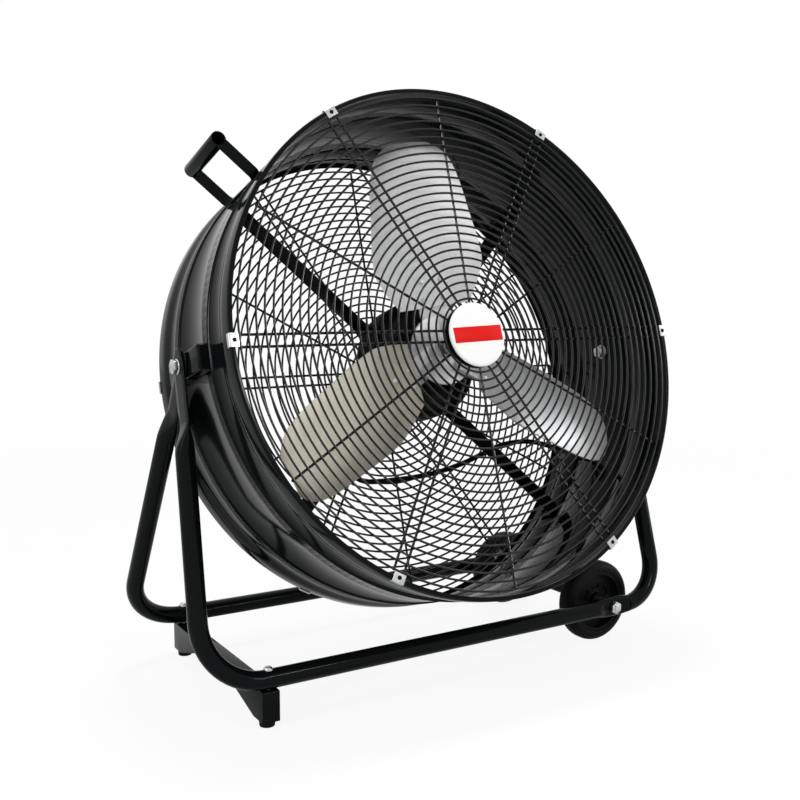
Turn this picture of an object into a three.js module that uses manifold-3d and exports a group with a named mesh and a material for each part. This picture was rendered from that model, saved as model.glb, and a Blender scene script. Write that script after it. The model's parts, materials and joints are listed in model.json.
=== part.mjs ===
// Drum fan: a short drum that tilts between two crossed tube frames, with two wheels at one end of the stand.
// Millimetres, +Z up. The drum faces -Y and tilts about an axis along X.
import * as THREE from 'three';
import { mergeGeometries, mergeVertices } from 'three/addons/utils/BufferGeometryUtils.js';
import Module from 'manifold-3d';

const wasm = await Module();
wasm.setup();

// ---- Driving dimensions ----

const clearance = 0.3;              // between pieces that touch

// drum
const tiltAtRest = 16.3;            // degrees that the drum looks up
const bandRadius = 345;
const rimRise = 5;                  // of the rims, above the band
const rimRadius = bandRadius + rimRise;
const drumDepth = 265;
const swingRoom = 75.76;            // between the floor and the circle that the tilting drum sweeps
const pivotHeight = Math.hypot(rimRadius, drumDepth / 2) + swingRoom;
const drumWall = 1.6;
const drumFacets = 38;
const beadPlace = 55;               // each bead's middle, from the drum's middle
const beadWidth = 7;
const beadHeight = 3;
const rimWidth = 19;
const rimLip = 6;                   // the rolled edge's face, across
const flareLength = 26;

// guards, front and rear
const ringCount = 27;
const guardRoom = 13;               // from the rim to the outer ring's middle
const outerRingRadius = rimRadius - guardRoom;
const ringWire = 1.5;               // wire radii
const stayWire = 1.7;
const weldDepth = 1.1;              // of a ring into the stays that join the rings
const stayPairGap = 15;             // between the wires of a pair
const guardInset = 1.5;             // of the rings' middle, behind the rim's face
const centrePlateRadius = 44;
const centrePlateThickness = 3;
const plateMargin = 4.7;            // of the centre plate, outside the inner ring's middle
const plateOverlap = 8;             // of the stays, inside the centre plate's edge
const innerRingRadius = centrePlateRadius - plateMargin;
const ringPitch = (outerRingRadius - innerRingRadius) / (ringCount - 1);
const badgeRadius = 47;
const badgeThickness = 5;
const clipWidth = 17;
const clipReach = 14;               // back over the rim
const clipLap = 4;                  // in over the guard, past the outer ring's middle
const clipThickness = 1.6;

// fan wheel and motor
const tipRoom = 40;                 // from the blades' tips to the band
const tipRadius = bandRadius - tipRoom;
const bladeCount = 3;
const bladePlane = 48;              // of the blades' middle, in front of the drum's middle
const bladeThickness = 2.4;
const bladeTurn = -1;               // degrees from the top to the first blade
const hubRadius = 50;
const hubThickness = 5;
const rootGap = 12;                 // between the hub's plate and a blade
const armLength = 62;               // of the hub's arms, outside its plate
const armReach = hubRadius + armLength;
const armWidth = 46;
const rootPitch = 30;               // degrees
const tipPitch = 20;
const shaftRadius = 8;
const bossWall = 9;
const bossFront = 7;                // in front of the blades' middle
const bossRear = 19;
const hubNutHeight = 8;
const motorRadius = 86;
const motorFront = 10;              // from the drum's middle
const motorRear = -46;
const motorCoverDepth = 12;
const shaftSeat = 20;               // of the shaft, inside the motor
const strutWidth = 22;
const strutThickness = 4;
const strutInnerRadius = 46;
const strutTab = 34;
const leadRadius = 4;
const leadInset = 11.825;           // of the lead's start, inside the motor's edge

// handle on the band
const handleAngle = -46;            // degrees from the top
const gripHeight = 68.5;            // of the grip's middle, above the band
const gripLength = 106;
const gripRadius = 10.4;
const gripBore = 9.3;
const strapWidth = 17.6;
const strapThickness = 3;
const strapBend = 7;
const strapShoulder = 7;            // of the arms' ends, below the grip's middle

// side brackets and tilt bolts
const bracketLength = 112;
const bracketHeight = 33;
const bracketDepth = 16.7;          // off the band
const bracketWall = 2.5;
const boltRadius = 5;
const boltHeadAcross = 17;
const boltHeadHeight = 8;
const boltTail = 14;                // inside the band
const flangeRadius = 10;
const flangeThickness = 2.4;
const tiltNutHeight = 8;

// speed switch on the band
const switchAngle = 122;            // degrees from the top
const switchSize = { across: 62, along: 76, deep: 34, corner: 8, sunk: 6 };
const knobRadius = 15;
const knobHeight = 15;
const glandRadius = 9;
const glandBore = 4;
const glandLength = 16;

// stand
const tubeRadius = 12.4;
const railHeight = 61.7;
const frontRailPlace = -96.6;       // from the tilt axis, along Y
const rearRailPlace = 214.8;
const legFlare = 12.5;              // of the legs' feet, outside the front tube's flats
const leftBend = 80;
const rightBend = 64;
const flatHalfThickness = 1.6;      // of a leg's flattened end
const flatHalfWidth = 17.5;
const flatBelowPivot = 70;
const flatTaper = 40;
const flatAbovePivot = 23;
const axleInset = 97.6;             // from the right legs' feet, along X
const footInset = 85.9;             // from the left legs' feet, along X
const wheelRadius = 62.5;
const wheelWidth = 31;
const tyreDepth = 15;
const hubWall = 5;
const wheelBossRadius = 14;
const wheelFacets = 20;
const wheelGap = 19;                // from a rail's flat to its wheel
const axleFlatHalfThickness = 6.5;
const axleFlatHalfHeight = 15;
const axleFlatHalfLength = 13;
const sleeveWall = 3;
const nutThickness = 7;
const channelWidth = 24;
const channelDepth = 40;            // at its ends
const channelMiddleDepth = 17;
const channelTaper = 110;
const channelWall = 1.6;
const channelOverhang = 10;         // past the rails' middles
const footRadius = 10.5;
const footSeat = 30;                // length of the turned-in foot plates
const screwRadius = 3;

// ---- Materials ----

const paint = (color, roughness, metalness) =>
  new THREE.MeshStandardMaterial({ color, roughness, metalness });
const blackPaint = paint(0x0b0d0e, 0.3, 0.3);
const blackWire = paint(0x08090a, 0.4, 0.3);
const motorBlack = paint(0x101112, 0.6, 0.2);
const zinc = paint(0xb9bcc0, 0.35, 0.9);
const satinAluminium = paint(0xc6c7c7, 0.45, 0.8);
const whitePlate = paint(0xf4f4f2, 0.5, 0);
const blackPlastic = paint(0x0e0f10, 0.55, 0);
const blackRubber = paint(0x121212, 0.8, 0);

// ---- Shape helpers ----

const degrees = Math.PI / 180;
const X = new THREE.Vector3(1, 0, 0);
const Y = new THREE.Vector3(0, 1, 0);
const Z = new THREE.Vector3(0, 0, 1);

function solid(geometry) {
  const bare = geometry.clone();
  bare.deleteAttribute('normal');
  bare.deleteAttribute('uv');
  const welded = mergeVertices(bare, 1e-4);
  const vertProperties = new Float32Array(welded.attributes.position.array);
  const triVerts = new Uint32Array(welded.index.array);
  return new wasm.Manifold(new wasm.Mesh({ numProp: 3, vertProperties, triVerts }));
}

function geometryOf(body) {
  const mesh = body.getMesh();
  const geometry = new THREE.BufferGeometry();
  geometry.setAttribute('position', new THREE.BufferAttribute(new Float32Array(mesh.vertProperties), 3));
  geometry.setIndex(new THREE.BufferAttribute(new Uint32Array(mesh.triVerts), 1));
  return geometry;
}

function joined(...geometries) {
  return geometryOf(geometries.map(solid).reduce((whole, next) => whole.add(next)));
}

function cut(geometry, ...tools) {
  return geometryOf(tools.map(solid).reduce((rest, tool) => rest.subtract(tool), solid(geometry)));
}

// A straight round bar between two points.
function bar(from, to, radius, sides) {
  const along = to.clone().sub(from);
  const geometry = new THREE.CylinderGeometry(radius, radius, along.length(), sides);
  geometry.applyQuaternion(new THREE.Quaternion().setFromUnitVectors(Y, along.clone().normalize()));
  const middle = from.clone().add(to).multiplyScalar(0.5);
  return geometry.translate(middle.x, middle.y, middle.z);
}

// A ring or disc turned about the Y axis; each point is [radius, place along Y].
function turned(profile, segments) {
  return new THREE.LatheGeometry(profile.map(([radius, y]) => new THREE.Vector2(radius, y)), segments);
}

// A closed profile from the side at +Y of a ring that is the same on both sides.
function bothSides(side) {
  const whole = [...side.map(([radius, y]) => [radius, -y]), ...side.slice().reverse()];
  return [...whole, whole[0]];
}

// A pipe along Y, open at both ends.
function pipe(outer, inner, start, end, segments) {
  return turned([[inner, start], [outer, start], [outer, end], [inner, end], [inner, start]], segments);
}

// A closed body through rings of points that all have the same count.
function loft(rings) {
  const count = rings[0].length;
  const positions = rings.flat().flatMap((point) => point.toArray());
  const index = [];
  for (let i = 0; i + 1 < rings.length; i += 1) {
    for (let j = 0; j < count; j += 1) {
      const a = i * count + j;
      const b = i * count + (j + 1) % count;
      index.push(a, b, b + count, a, b + count, a + count);
    }
  }
  const last = (rings.length - 1) * count;
  for (let j = 1; j + 1 < count; j += 1) {
    index.push(0, j + 1, j);
    index.push(last, last + j, last + j + 1);
  }
  const geometry = new THREE.BufferGeometry();
  geometry.setAttribute('position', new THREE.Float32BufferAttribute(positions, 3));
  geometry.setIndex(index);
  return geometry;
}

// Places and directions along a bent centre line.
// Each corner is { point, bend, ... }, with bend its radius or 0.
function bentLine(corners, stepsPerBend) {
  const stations = [];
  corners.forEach((corner, i) => {
    const before = corners[Math.max(i - 1, 0)].point;
    const after = corners[Math.min(i + 1, corners.length - 1)].point;
    const into = corner.point.clone().sub(before).normalize();
    const away = after.clone().sub(corner.point).normalize();
    if (!corner.bend) {
      const direction = into.clone().add(away).normalize();
      stations.push({ ...corner, direction });
      return;
    }
    const turn = into.angleTo(away);
    const setback = corner.bend * Math.tan(turn / 2);
    const axis = into.clone().cross(away).normalize();
    const inward = axis.clone().cross(into);
    const start = corner.point.clone().addScaledVector(into, -setback);
    const centre = start.clone().addScaledVector(inward, corner.bend);
    for (let k = 0; k <= stepsPerBend; k += 1) {
      const angle = turn * k / stepsPerBend;
      const point = start.clone().sub(centre).applyAxisAngle(axis, angle).add(centre);
      stations.push({ ...corner, point, direction: into.clone().applyAxisAngle(axis, angle) });
    }
  });
  return stations;
}

// A section with flat faces where it is pressed thin, and round where both half sizes are equal.
function pressedSection(station, side, sides) {
  const { point, direction, halfAcross, halfDeep, roll = 0 } = station;
  const deep = side.clone().applyAxisAngle(direction, roll);
  const across = deep.clone().cross(direction).normalize();
  const thin = Math.min(halfAcross, halfDeep);
  return Array.from({ length: sides }, (_, k) => {
    const angle = 2 * Math.PI * (k + 0.5) / sides;
    const c = Math.cos(angle);
    const s = Math.sin(angle);
    const pushC = THREE.MathUtils.clamp(3 * c, -1, 1) * (halfAcross - thin);
    const pushS = THREE.MathUtils.clamp(3 * s, -1, 1) * (halfDeep - thin);
    return point.clone()
      .addScaledVector(across, c * thin + pushC)
      .addScaledVector(deep, s * thin + pushS);
  });
}

// A flat strip along a bent line in the plane square to side.
function strip(corners, side, width, thickness, stepsPerBend) {
  return loft(bentLine(corners, stepsPerBend).map(({ point, direction }) => {
    const across = side.clone().cross(direction).normalize();
    return [[-1, -1], [1, -1], [1, 1], [-1, 1]].map(([a, b]) => point.clone()
      .addScaledVector(across, a * thickness / 2)
      .addScaledVector(side, b * width / 2));
  }));
}

function block(x, y, z, sizeX, sizeY, sizeZ) {
  return new THREE.BoxGeometry(sizeX, sizeY, sizeZ).translate(x, y, z);
}

// A hexagon along Y, measured across its flats.
function hexagon(acrossFlats, start, end) {
  const radius = acrossFlats / Math.sqrt(3);
  return new THREE.CylinderGeometry(radius, radius, end - start, 6).translate(0, (start + end) / 2, 0);
}

// ---- The model's groups ----

const fan = new THREE.Group();
const drum = new THREE.Group();
drum.position.z = pivotHeight;
drum.rotation.x = -tiltAtRest * degrees;
fan.add(drum);

function addTo(group, name, geometry, material) {
  const mesh = new THREE.Mesh(geometry, material);
  mesh.name = name;
  group.add(mesh);
  return mesh;
}

// In the drum, s is the distance in front of its middle, and an angle runs from the top towards +X.
const atDrum = (angle, radius, s) =>
  new THREE.Vector3(radius * Math.sin(angle * degrees), -s, radius * Math.cos(angle * degrees));

// ---- Drum shell ----

const drumFace = drumDepth / 2;
const shellHoles = [];              // tools that every hole through the band adds

function drumHalfProfile() {
  const flareEnd = drumFace - rimWidth;
  const flareStart = flareEnd - flareLength;
  const flareAt = (share) => bandRadius + (rimRadius - bandRadius) * (1 - Math.cos(Math.PI * share)) / 2;
  const flare = [0, 0.4, 0.7, 1].map((share) => [flareAt(share), flareStart + share * flareLength]);
  const bead = [[0, -0.5], [beadHeight, -0.2], [beadHeight, 0.2], [0, 0.5]]
    .map(([rise, share]) => [bandRadius + rise, beadPlace + share * beadWidth]);
  const outside = [...bead, ...flare, [rimRadius, drumFace]];
  const lip = [[rimRadius - rimLip, drumFace], [rimRadius - rimLip, drumFace - drumWall]];
  const inside = [[rimRadius - drumWall, drumFace - drumWall]]
    .concat([flare[3], flare[0]].map(([radius, s]) => [radius - drumWall, s]));
  return { outside, rest: [...lip, ...inside] };
}

function drumShell() {
  const { outside, rest } = drumHalfProfile();
  return turned(bothSides([...outside, ...rest].reverse()), drumFacets);
}

// ---- Guards ----

const ringMiddle = drumFace - guardInset;
const stayMiddle = ringMiddle - ringWire - stayWire + weldDepth;
const looseStayMiddle = ringMiddle - ringWire - stayWire - clearance;
const stayEnd = outerRingRadius + ringWire;
const clipAngles = [-150, -90, -30, 30, 90, 150];
const joiningAngles = [0, 180];
const singleAngles = [60, 120, 240, 300];

// Each facet count puts a flat, and no corner, where a joining stay crosses.
function guardRings(facets) {
  const rings = Array.from({ length: ringCount }, (_, i) => {
    const radius = outerRingRadius - i * ringPitch;
    const zone = Math.floor(3 * i / ringCount);
    return new THREE.TorusGeometry(radius, ringWire, 3, facets[zone])
      .rotateX(Math.PI / 2)
      .translate(0, -ringMiddle, 0);
  });
  const inner = innerRingRadius - ringWire;
  const wires = joiningAngles.map((angle) =>
    bar(atDrum(angle, inner, stayMiddle), atDrum(angle, stayEnd, stayMiddle), stayWire, 6));
  return joined(mergeGeometries(rings.map((ring) => ring.toNonIndexed())), ...wires);
}

function guardStays() {
  const plateFront = looseStayMiddle - stayWire + clearance;
  const plate = new THREE.CylinderGeometry(centrePlateRadius, centrePlateRadius, centrePlateThickness, 20)
    .translate(0, -(plateFront - centrePlateThickness / 2), 0);
  const start = centrePlateRadius - plateOverlap;
  const singles = singleAngles.map((angle) =>
    bar(atDrum(angle, start, looseStayMiddle), atDrum(angle, stayEnd, looseStayMiddle), stayWire, 4));
  const pairs = clipAngles.flatMap((angle) => [-1, 1].map((side) => {
    const offset = atDrum(angle + 90, side * stayPairGap / 2, 0);
    const from = atDrum(angle, start, looseStayMiddle).add(offset);
    const to = atDrum(angle, stayEnd - clearance, looseStayMiddle).add(offset);
    return bar(from, to, stayWire, 4);
  }));
  return joined(plate, ...singles, ...pairs);
}

// A folded clip over the rim and the guard's outer ring, drawn at the top of the drum's front.
function rimClip() {
  const seat = rimRadius + clearance;
  const face = drumFace + clearance;
  const corner = clipThickness / 2;
  const inner = outerRingRadius - clipLap;
  const outline = new THREE.Shape([
    [seat, face - clipReach],
    [seat + clipThickness, face - clipReach],
    [seat + clipThickness, face + clipThickness - corner],
    [seat + clipThickness - corner, face + clipThickness],
    [inner, face + clipThickness],
    [inner, face],
    [seat, face],
  ].map(([radius, s]) => new THREE.Vector2(radius, s)));
  const geometry = new THREE.ExtrudeGeometry(outline, { depth: clipWidth, bevelEnabled: false });
  geometry.translate(0, 0, -clipWidth / 2);
  return geometry.applyMatrix4(new THREE.Matrix4().makeBasis(Z, Y.clone().negate(), X));
}

function addGuards() {
  const stays = guardStays();
  const clip = rimClip();
  for (const [end, turn, facets] of [['front', 0, [22, 14, 10]], ['rear', Math.PI, [18, 14, 10]]]) {
    const side = new THREE.Group();
    side.rotation.z = turn;
    drum.add(side);
    addTo(side, `${end}_guard_rings`, guardRings(facets), blackWire);
    addTo(side, `${end}_guard_stays`, stays, blackWire);
    clipAngles.forEach((angle, i) => {
      addTo(side, `${end}_rim_clip_${i + 1}`, clip, zinc).rotation.y = angle * degrees;
    });
  }
}

// A slightly domed disc with a bevelled edge.
function badgeDisc() {
  const back = -(ringMiddle + ringWire + clearance);
  const front = back - badgeThickness;
  return turned([
    [0, back],
    [0, front],
    [badgeRadius - badgeThickness / 4, front + badgeThickness / 3],
    [badgeRadius, front + 0.6 * badgeThickness],
    [badgeRadius, back],
    [0, back],
  ], 24);
}

// ---- Handle ----

const gripMiddle = bandRadius + gripHeight;

// A strap with its base on the band, between the beads, and two arms that are coped to the grip.
function handleStrap() {
  const seat = bandRadius + clearance + strapThickness / 2;
  const reach = beadPlace - beadWidth / 2 - clearance - strapThickness / 2;
  const top = gripMiddle - strapShoulder;
  const corner = (s, radius, bend) => ({ point: new THREE.Vector3(0, -s, radius), bend });
  const bent = strip([
    corner(reach, top, 0),
    corner(reach, seat, strapBend),
    corner(-reach, seat, strapBend),
    corner(-reach, top, 0),
  ], X, strapWidth, strapThickness, 4);
  const cope = new THREE.CylinderGeometry(gripRadius + clearance, gripRadius + clearance, 2 * gripLength, 32)
    .translate(0, 0, gripMiddle);
  return cut(bent, cope);
}

function addHandle() {
  const handle = new THREE.Group();
  handle.rotation.y = handleAngle * degrees;
  drum.add(handle);
  addTo(handle, 'handle_strap', handleStrap(), blackPaint);
  addTo(handle, 'handle_grip', pipe(gripRadius, gripBore, -gripLength / 2, gripLength / 2, 16), blackPaint)
    .position.z = gripMiddle;
}

// ---- Side brackets and tilt bolts ----

const bracketFace = bandRadius + clearance + bracketDepth;
const rearFlatPlace = bracketFace + clearance + flatHalfThickness;
const frontFlatPlace = rearFlatPlace + 2 * flatHalfThickness + clearance;
const boltSeat = frontFlatPlace + flatHalfThickness + clearance;
const boltHole = boltRadius + clearance;

// A pressed channel across the band, drawn with its face towards +X.
function sideBracket() {
  const whole = block(bracketFace - bracketDepth / 2, 0, 0, bracketDepth, bracketLength, bracketHeight);
  const hollow = block(
    bracketFace - bracketWall - bracketDepth / 2, 0, 0,
    bracketDepth, bracketLength - 2 * bracketWall, bracketHeight - 2 * bracketWall);
  const beads = [-1, 1].map((side) => block(
    bandRadius, side * beadPlace, 0,
    2 * (beadHeight + 2 * clearance), beadWidth + 2 * clearance, 2 * bracketHeight));
  const hole = bar(new THREE.Vector3(bandRadius, 0, 0), new THREE.Vector3(boltSeat, 0, 0), boltHole, 12);
  return cut(whole, hollow, ...beads, hole);
}

function tiltBolt() {
  const tip = bandRadius - boltTail;
  const flangeMiddle = boltSeat + flangeThickness / 2;
  const shank = new THREE.CylinderGeometry(boltRadius, boltRadius, flangeMiddle - tip, 12)
    .translate(0, (flangeMiddle + tip) / 2, 0);
  const flange = new THREE.CylinderGeometry(boltHeadAcross / 2, flangeRadius, flangeThickness, 16)
    .translate(0, flangeMiddle, 0);
  return joined(shank, flange, hexagon(boltHeadAcross, flangeMiddle, boltSeat + boltHeadHeight))
    .rotateZ(-Math.PI / 2);
}

function tiltNut() {
  const seat = bandRadius * Math.cos(Math.PI / drumFacets) - drumWall - 2 * clearance;
  const hole = new THREE.CylinderGeometry(boltHole, boltHole, 4 * tiltNutHeight, 12).translate(0, seat, 0);
  return cut(hexagon(boltHeadAcross, seat - tiltNutHeight, seat), hole).rotateZ(-Math.PI / 2);
}

function addPivots() {
  for (const [name, turn] of [['right', 0], ['left', Math.PI]]) {
    const side = new THREE.Group();
    side.rotation.z = turn;
    drum.add(side);
    addTo(side, `side_bracket_${name}`, sideBracket(), blackPaint);
    addTo(side, `tilt_bolt_${name}`, tiltBolt(), zinc);
    addTo(side, `tilt_nut_${name}`, tiltNut(), zinc);
  }
  shellHoles.push(bar(
    new THREE.Vector3(-bracketFace, 0, 0), new THREE.Vector3(bracketFace, 0, 0), boltHole, 12));
}

// ---- Motor, its struts and its lead ----

const strutFace = motorRear - motorCoverDepth - 2 * clearance;
const strutMiddle = strutFace - strutThickness / 2;
const ribCount = 3;
const ribDepth = 3;
const bearingNose = 6;              // in front of the motor's face

function motorBody() {
  const fin = (motorFront - motorRear) / (2 * ribCount);
  const root = motorRadius - ribDepth;
  const ribs = Array.from({ length: ribCount }, (_, i) => {
    const s = motorRear + (2 * i + 1) * fin;
    return [[root, s - fin * 0.6], [motorRadius, s - fin * 0.5], [motorRadius, s + fin * 0.5],
      [root, s + fin * 0.6]];
  }).flat();
  const bore = shaftRadius + clearance;
  const profile = [
    [0, motorRear + clearance],
    [root, motorRear + clearance],
    ...ribs,
    [motorRadius - 3 * ribDepth, motorFront],
    [bore + 2 * bearingNose, motorFront],
    [bore + 1.7 * bearingNose, motorFront + bearingNose],
    [bore, motorFront + bearingNose],
    [bore, motorFront - shaftSeat],
    [0, motorFront - shaftSeat],
    [0, motorRear + clearance],
  ];
  return turned(profile.map(([radius, s]) => [radius, -s]).reverse(), 18);
}

function motorCover() {
  const outer = motorRadius - ribDepth / 2;
  const back = motorRear - motorCoverDepth;
  return turned([
    [0, -motorRear], [outer, -motorRear], [outer, -(motorRear - motorCoverDepth / 2)],
    [outer - motorCoverDepth, -back], [0, -back], [0, -motorRear],
  ], 18);
}

// A flat strut from the motor's back to a tab on the drum's wall, drawn at the top.
function motorStrut() {
  const wall = bandRadius * Math.cos(Math.PI / drumFacets) - drumWall - clearance - strutThickness / 2;
  const corner = (radius, s, bend) => ({ point: new THREE.Vector3(0, -s, radius), bend });
  return strip([
    corner(strutInnerRadius, strutMiddle, 0),
    corner(wall, strutMiddle, 1.5 * strutThickness),
    corner(wall, strutMiddle - strutTab, 0),
  ], X, strutWidth, strutThickness, 3);
}

// The lead hangs from the motor's back to the rear guard, follows it and turns in to the switch.
function motorLead() {
  const guardPlane = leadRadius + 2 * clearance + stayWire - looseStayMiddle;
  const atShare = (angle, share, depth) =>
    atDrum(angle, share * bandRadius, strutFace + depth * (guardPlane - strutFace));
  const route = [
    atDrum(199, motorRadius - leadInset, strutFace + clearance),
    atShare(200, 0.226, 0.22), atShare(204, 0.318, 0.53), atShare(209, 0.459, 0.9), atShare(201, 0.49, 1),
    atShare(182, 0.467, 1), atShare(159, 0.49, 1), atShare(141, 0.549, 1), atShare(130, 0.609, 0.98),
    atShare(121, 0.692, 0.9), atShare(117, 0.799, 0.6), atShare(118, 0.908, 0.05),
  ];
  const outlet = [[-0.1, -4.5 * leadRadius], [-0.07, 0]]
    .map(([share, s]) => atDrum(switchAngle, (1 + share) * bandRadius, s));
  const end = atDrum(switchAngle, bandRadius * Math.cos(Math.PI / drumFacets) - drumWall - clearance, 0);
  const curve = new THREE.CatmullRomCurve3([...route, ...outlet, end]);
  const ring = new THREE.Shape();
  ring.absarc(0, 0, leadRadius, 0, 2 * Math.PI);
  return new THREE.ExtrudeGeometry(ring, {
    extrudePath: curve, steps: 32, curveSegments: 3, bevelEnabled: false,
  });
}

// ---- Fan wheel ----

const bladeAngles = Array.from({ length: bladeCount }, (_, i) => bladeTurn + i * 360 / bladeCount);

function bladeArm(angle) {
  const arm = block(0, 0, (armReach + hubRadius / 2) / 2, armWidth, hubThickness, armReach - hubRadius / 2);
  return arm.rotateZ(-rootPitch * degrees).translate(0, -bladePlane, 0).rotateY(angle * degrees);
}

function fanHub() {
  const plate = new THREE.CylinderGeometry(hubRadius, hubRadius, hubThickness, 24)
    .translate(0, -bladePlane, 0);
  const bossRadius = shaftRadius + bossWall;
  const boss = new THREE.CylinderGeometry(bossRadius, bossRadius, bossFront + bossRear, 20)
    .translate(0, (bossRear - bossFront) / 2 - bladePlane, 0);
  const bore = new THREE.CylinderGeometry(shaftRadius + clearance, shaftRadius + clearance, 4 * bossRear, 16)
    .translate(0, -bladePlane, 0);
  return cut(joined(plate, boss, ...bladeAngles.map(bladeArm)), bore);
}

// A pressed blade with a flat root, cambered, less pitched and narrower towards its tip, drawn at the top.
function blade() {
  const outer = tipRadius - armReach;
  const twist = rootPitch - tipPitch;
  const stations = [
    { radius: hubRadius + rootGap, width: 0.33, camber: 0, pitch: rootPitch },
    { radius: armReach, width: 0.49, camber: 0, pitch: rootPitch },
    ...[[0.2, 0.52, 0.04], [0.46, 0.475, 0.06], [0.72, 0.43, 0.07], [0.88, 0.37, 0.07], [0.96, 0.29, 0.07],
      [1, 0.19, 0.06]].map(([share, width, camber]) => (
      { radius: armReach + share * outer, width, camber, pitch: rootPitch - share * twist })),
  ];
  const lift = hubThickness / 2 + 2 * clearance + bladeThickness / 2;
  const chordPoints = [-0.5, -0.3, -0.1, 0.1, 0.3, 0.5];
  const rings = stations.map(({ radius, width, camber, pitch }) => {
    const tilt = pitch * degrees;
    const chord = width * tipRadius;
    const place = (share, side) => {
      const along = share * chord;
      const rise = lift + camber * chord * (1 - 4 * share * share) + side * bladeThickness / 2;
      const across = along * Math.cos(tilt) - rise * Math.sin(tilt);
      const forward = bladePlane + along * Math.sin(tilt) + rise * Math.cos(tilt);
      if (!camber) return new THREE.Vector3(across, -forward, radius);
      const turn = across / radius;
      return new THREE.Vector3(radius * Math.sin(turn), -forward, radius * Math.cos(turn));
    };
    return [...chordPoints.map((share) => place(share, 1)),
      ...chordPoints.slice().reverse().map((share) => place(share, -1))];
  });
  return loft(rings);
}

function hubNut() {
  const seat = bladePlane + bossFront + clearance;
  const bore = shaftRadius + clearance;
  const hole = new THREE.CylinderGeometry(bore, bore, 4 * hubNutHeight, 16).translate(0, -seat, 0);
  return cut(hexagon(3 * shaftRadius, -(seat + hubNutHeight), -seat), hole);
}

function addMotor() {
  addTo(drum, 'motor_body', motorBody(), motorBlack);
  addTo(drum, 'motor_rear_cover', motorCover(), motorBlack);
  [-135, -45, 45, 135].forEach((angle, i) => {
    addTo(drum, `motor_strut_${i + 1}`, motorStrut(), blackPaint).rotation.y = angle * degrees;
  });
  addTo(drum, 'motor_lead', motorLead(), blackRubber);
  const shaftStart = motorFront - shaftSeat + clearance;
  const shaftEnd = bladePlane + bossFront + 1.5 * hubNutHeight;
  const shaft = new THREE.CylinderGeometry(shaftRadius, shaftRadius, shaftEnd - shaftStart, 16);
  addTo(drum, 'motor_shaft', shaft, zinc).position.y = -(shaftStart + shaftEnd) / 2;
  addTo(drum, 'fan_hub', fanHub(), satinAluminium);
  bladeAngles.forEach((angle, i) => {
    addTo(drum, `blade_${i + 1}`, blade(), satinAluminium).rotation.y = angle * degrees;
  });
  addTo(drum, 'hub_nut', hubNut(), zinc);
}

// ---- Speed switch ----

function switchBox() {
  const { across, along, deep, corner, sunk } = switchSize;
  const outline = new THREE.Shape();
  const w = across / 2;
  const l = along / 2;
  outline.moveTo(-w + corner, -l);
  outline.lineTo(w - corner, -l);
  outline.absarc(w - corner, -l + corner, corner, -Math.PI / 2, 0);
  outline.absarc(w - corner, l - corner, corner, 0, Math.PI / 2);
  outline.absarc(-w + corner, l - corner, corner, Math.PI / 2, Math.PI);
  outline.absarc(-w + corner, -l + corner, corner, Math.PI, 1.5 * Math.PI);
  const settings = { depth: deep + sunk, bevelEnabled: false, curveSegments: 3 };
  const body = new THREE.ExtrudeGeometry(outline, settings).translate(0, 0, bandRadius - sunk);
  const saddleRadius = (bandRadius + clearance) / Math.cos(Math.PI / drumFacets);
  const saddle = new THREE.CylinderGeometry(saddleRadius, saddleRadius, 2 * along, drumFacets);
  return cut(body, saddle);
}

function speedKnob() {
  const knob = turned([
    [0, 0], [knobRadius, 0], [knobRadius, 0.2 * knobHeight], [0.87 * knobRadius, 0.87 * knobHeight],
    [0.73 * knobRadius, knobHeight], [0, knobHeight], [0, 0],
  ], 20);
  const pointer = block(0, knobHeight, -knobRadius / 2, knobRadius / 5, knobHeight / 7, knobRadius);
  return joined(knob, pointer).rotateX(Math.PI / 2);
}

function cableGland() {
  const step = 0.4 * glandLength;
  return turned([
    [glandBore, 0], [glandRadius, 0], [glandRadius, step], [0.8 * glandRadius, step],
    [0.67 * glandRadius, glandLength], [glandBore, glandLength], [glandBore, 0],
  ], 12);
}

function addSwitch() {
  const place = new THREE.Group();
  place.rotation.y = switchAngle * degrees;
  drum.add(place);
  addTo(place, 'switch_box', switchBox(), blackPlastic);
  const knob = addTo(place, 'speed_knob', speedKnob(), blackPlastic);
  knob.position.z = bandRadius + switchSize.deep + clearance;
  const gland = addTo(place, 'cable_gland', cableGland(), blackPlastic);
  gland.position.set(0, switchSize.along / 2 + clearance, bandRadius + switchSize.deep / 2);
}

// ---- Frame tubes ----

const legSpread = frontFlatPlace + legFlare;  // of the tube's middle, at the foot of the legs
const axlePlace = legSpread - axleInset;
const footPlace = footInset - legSpread;

function legAxis(share, flatPlace) {
  return legSpread + (flatPlace - legSpread) * share;
}

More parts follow.
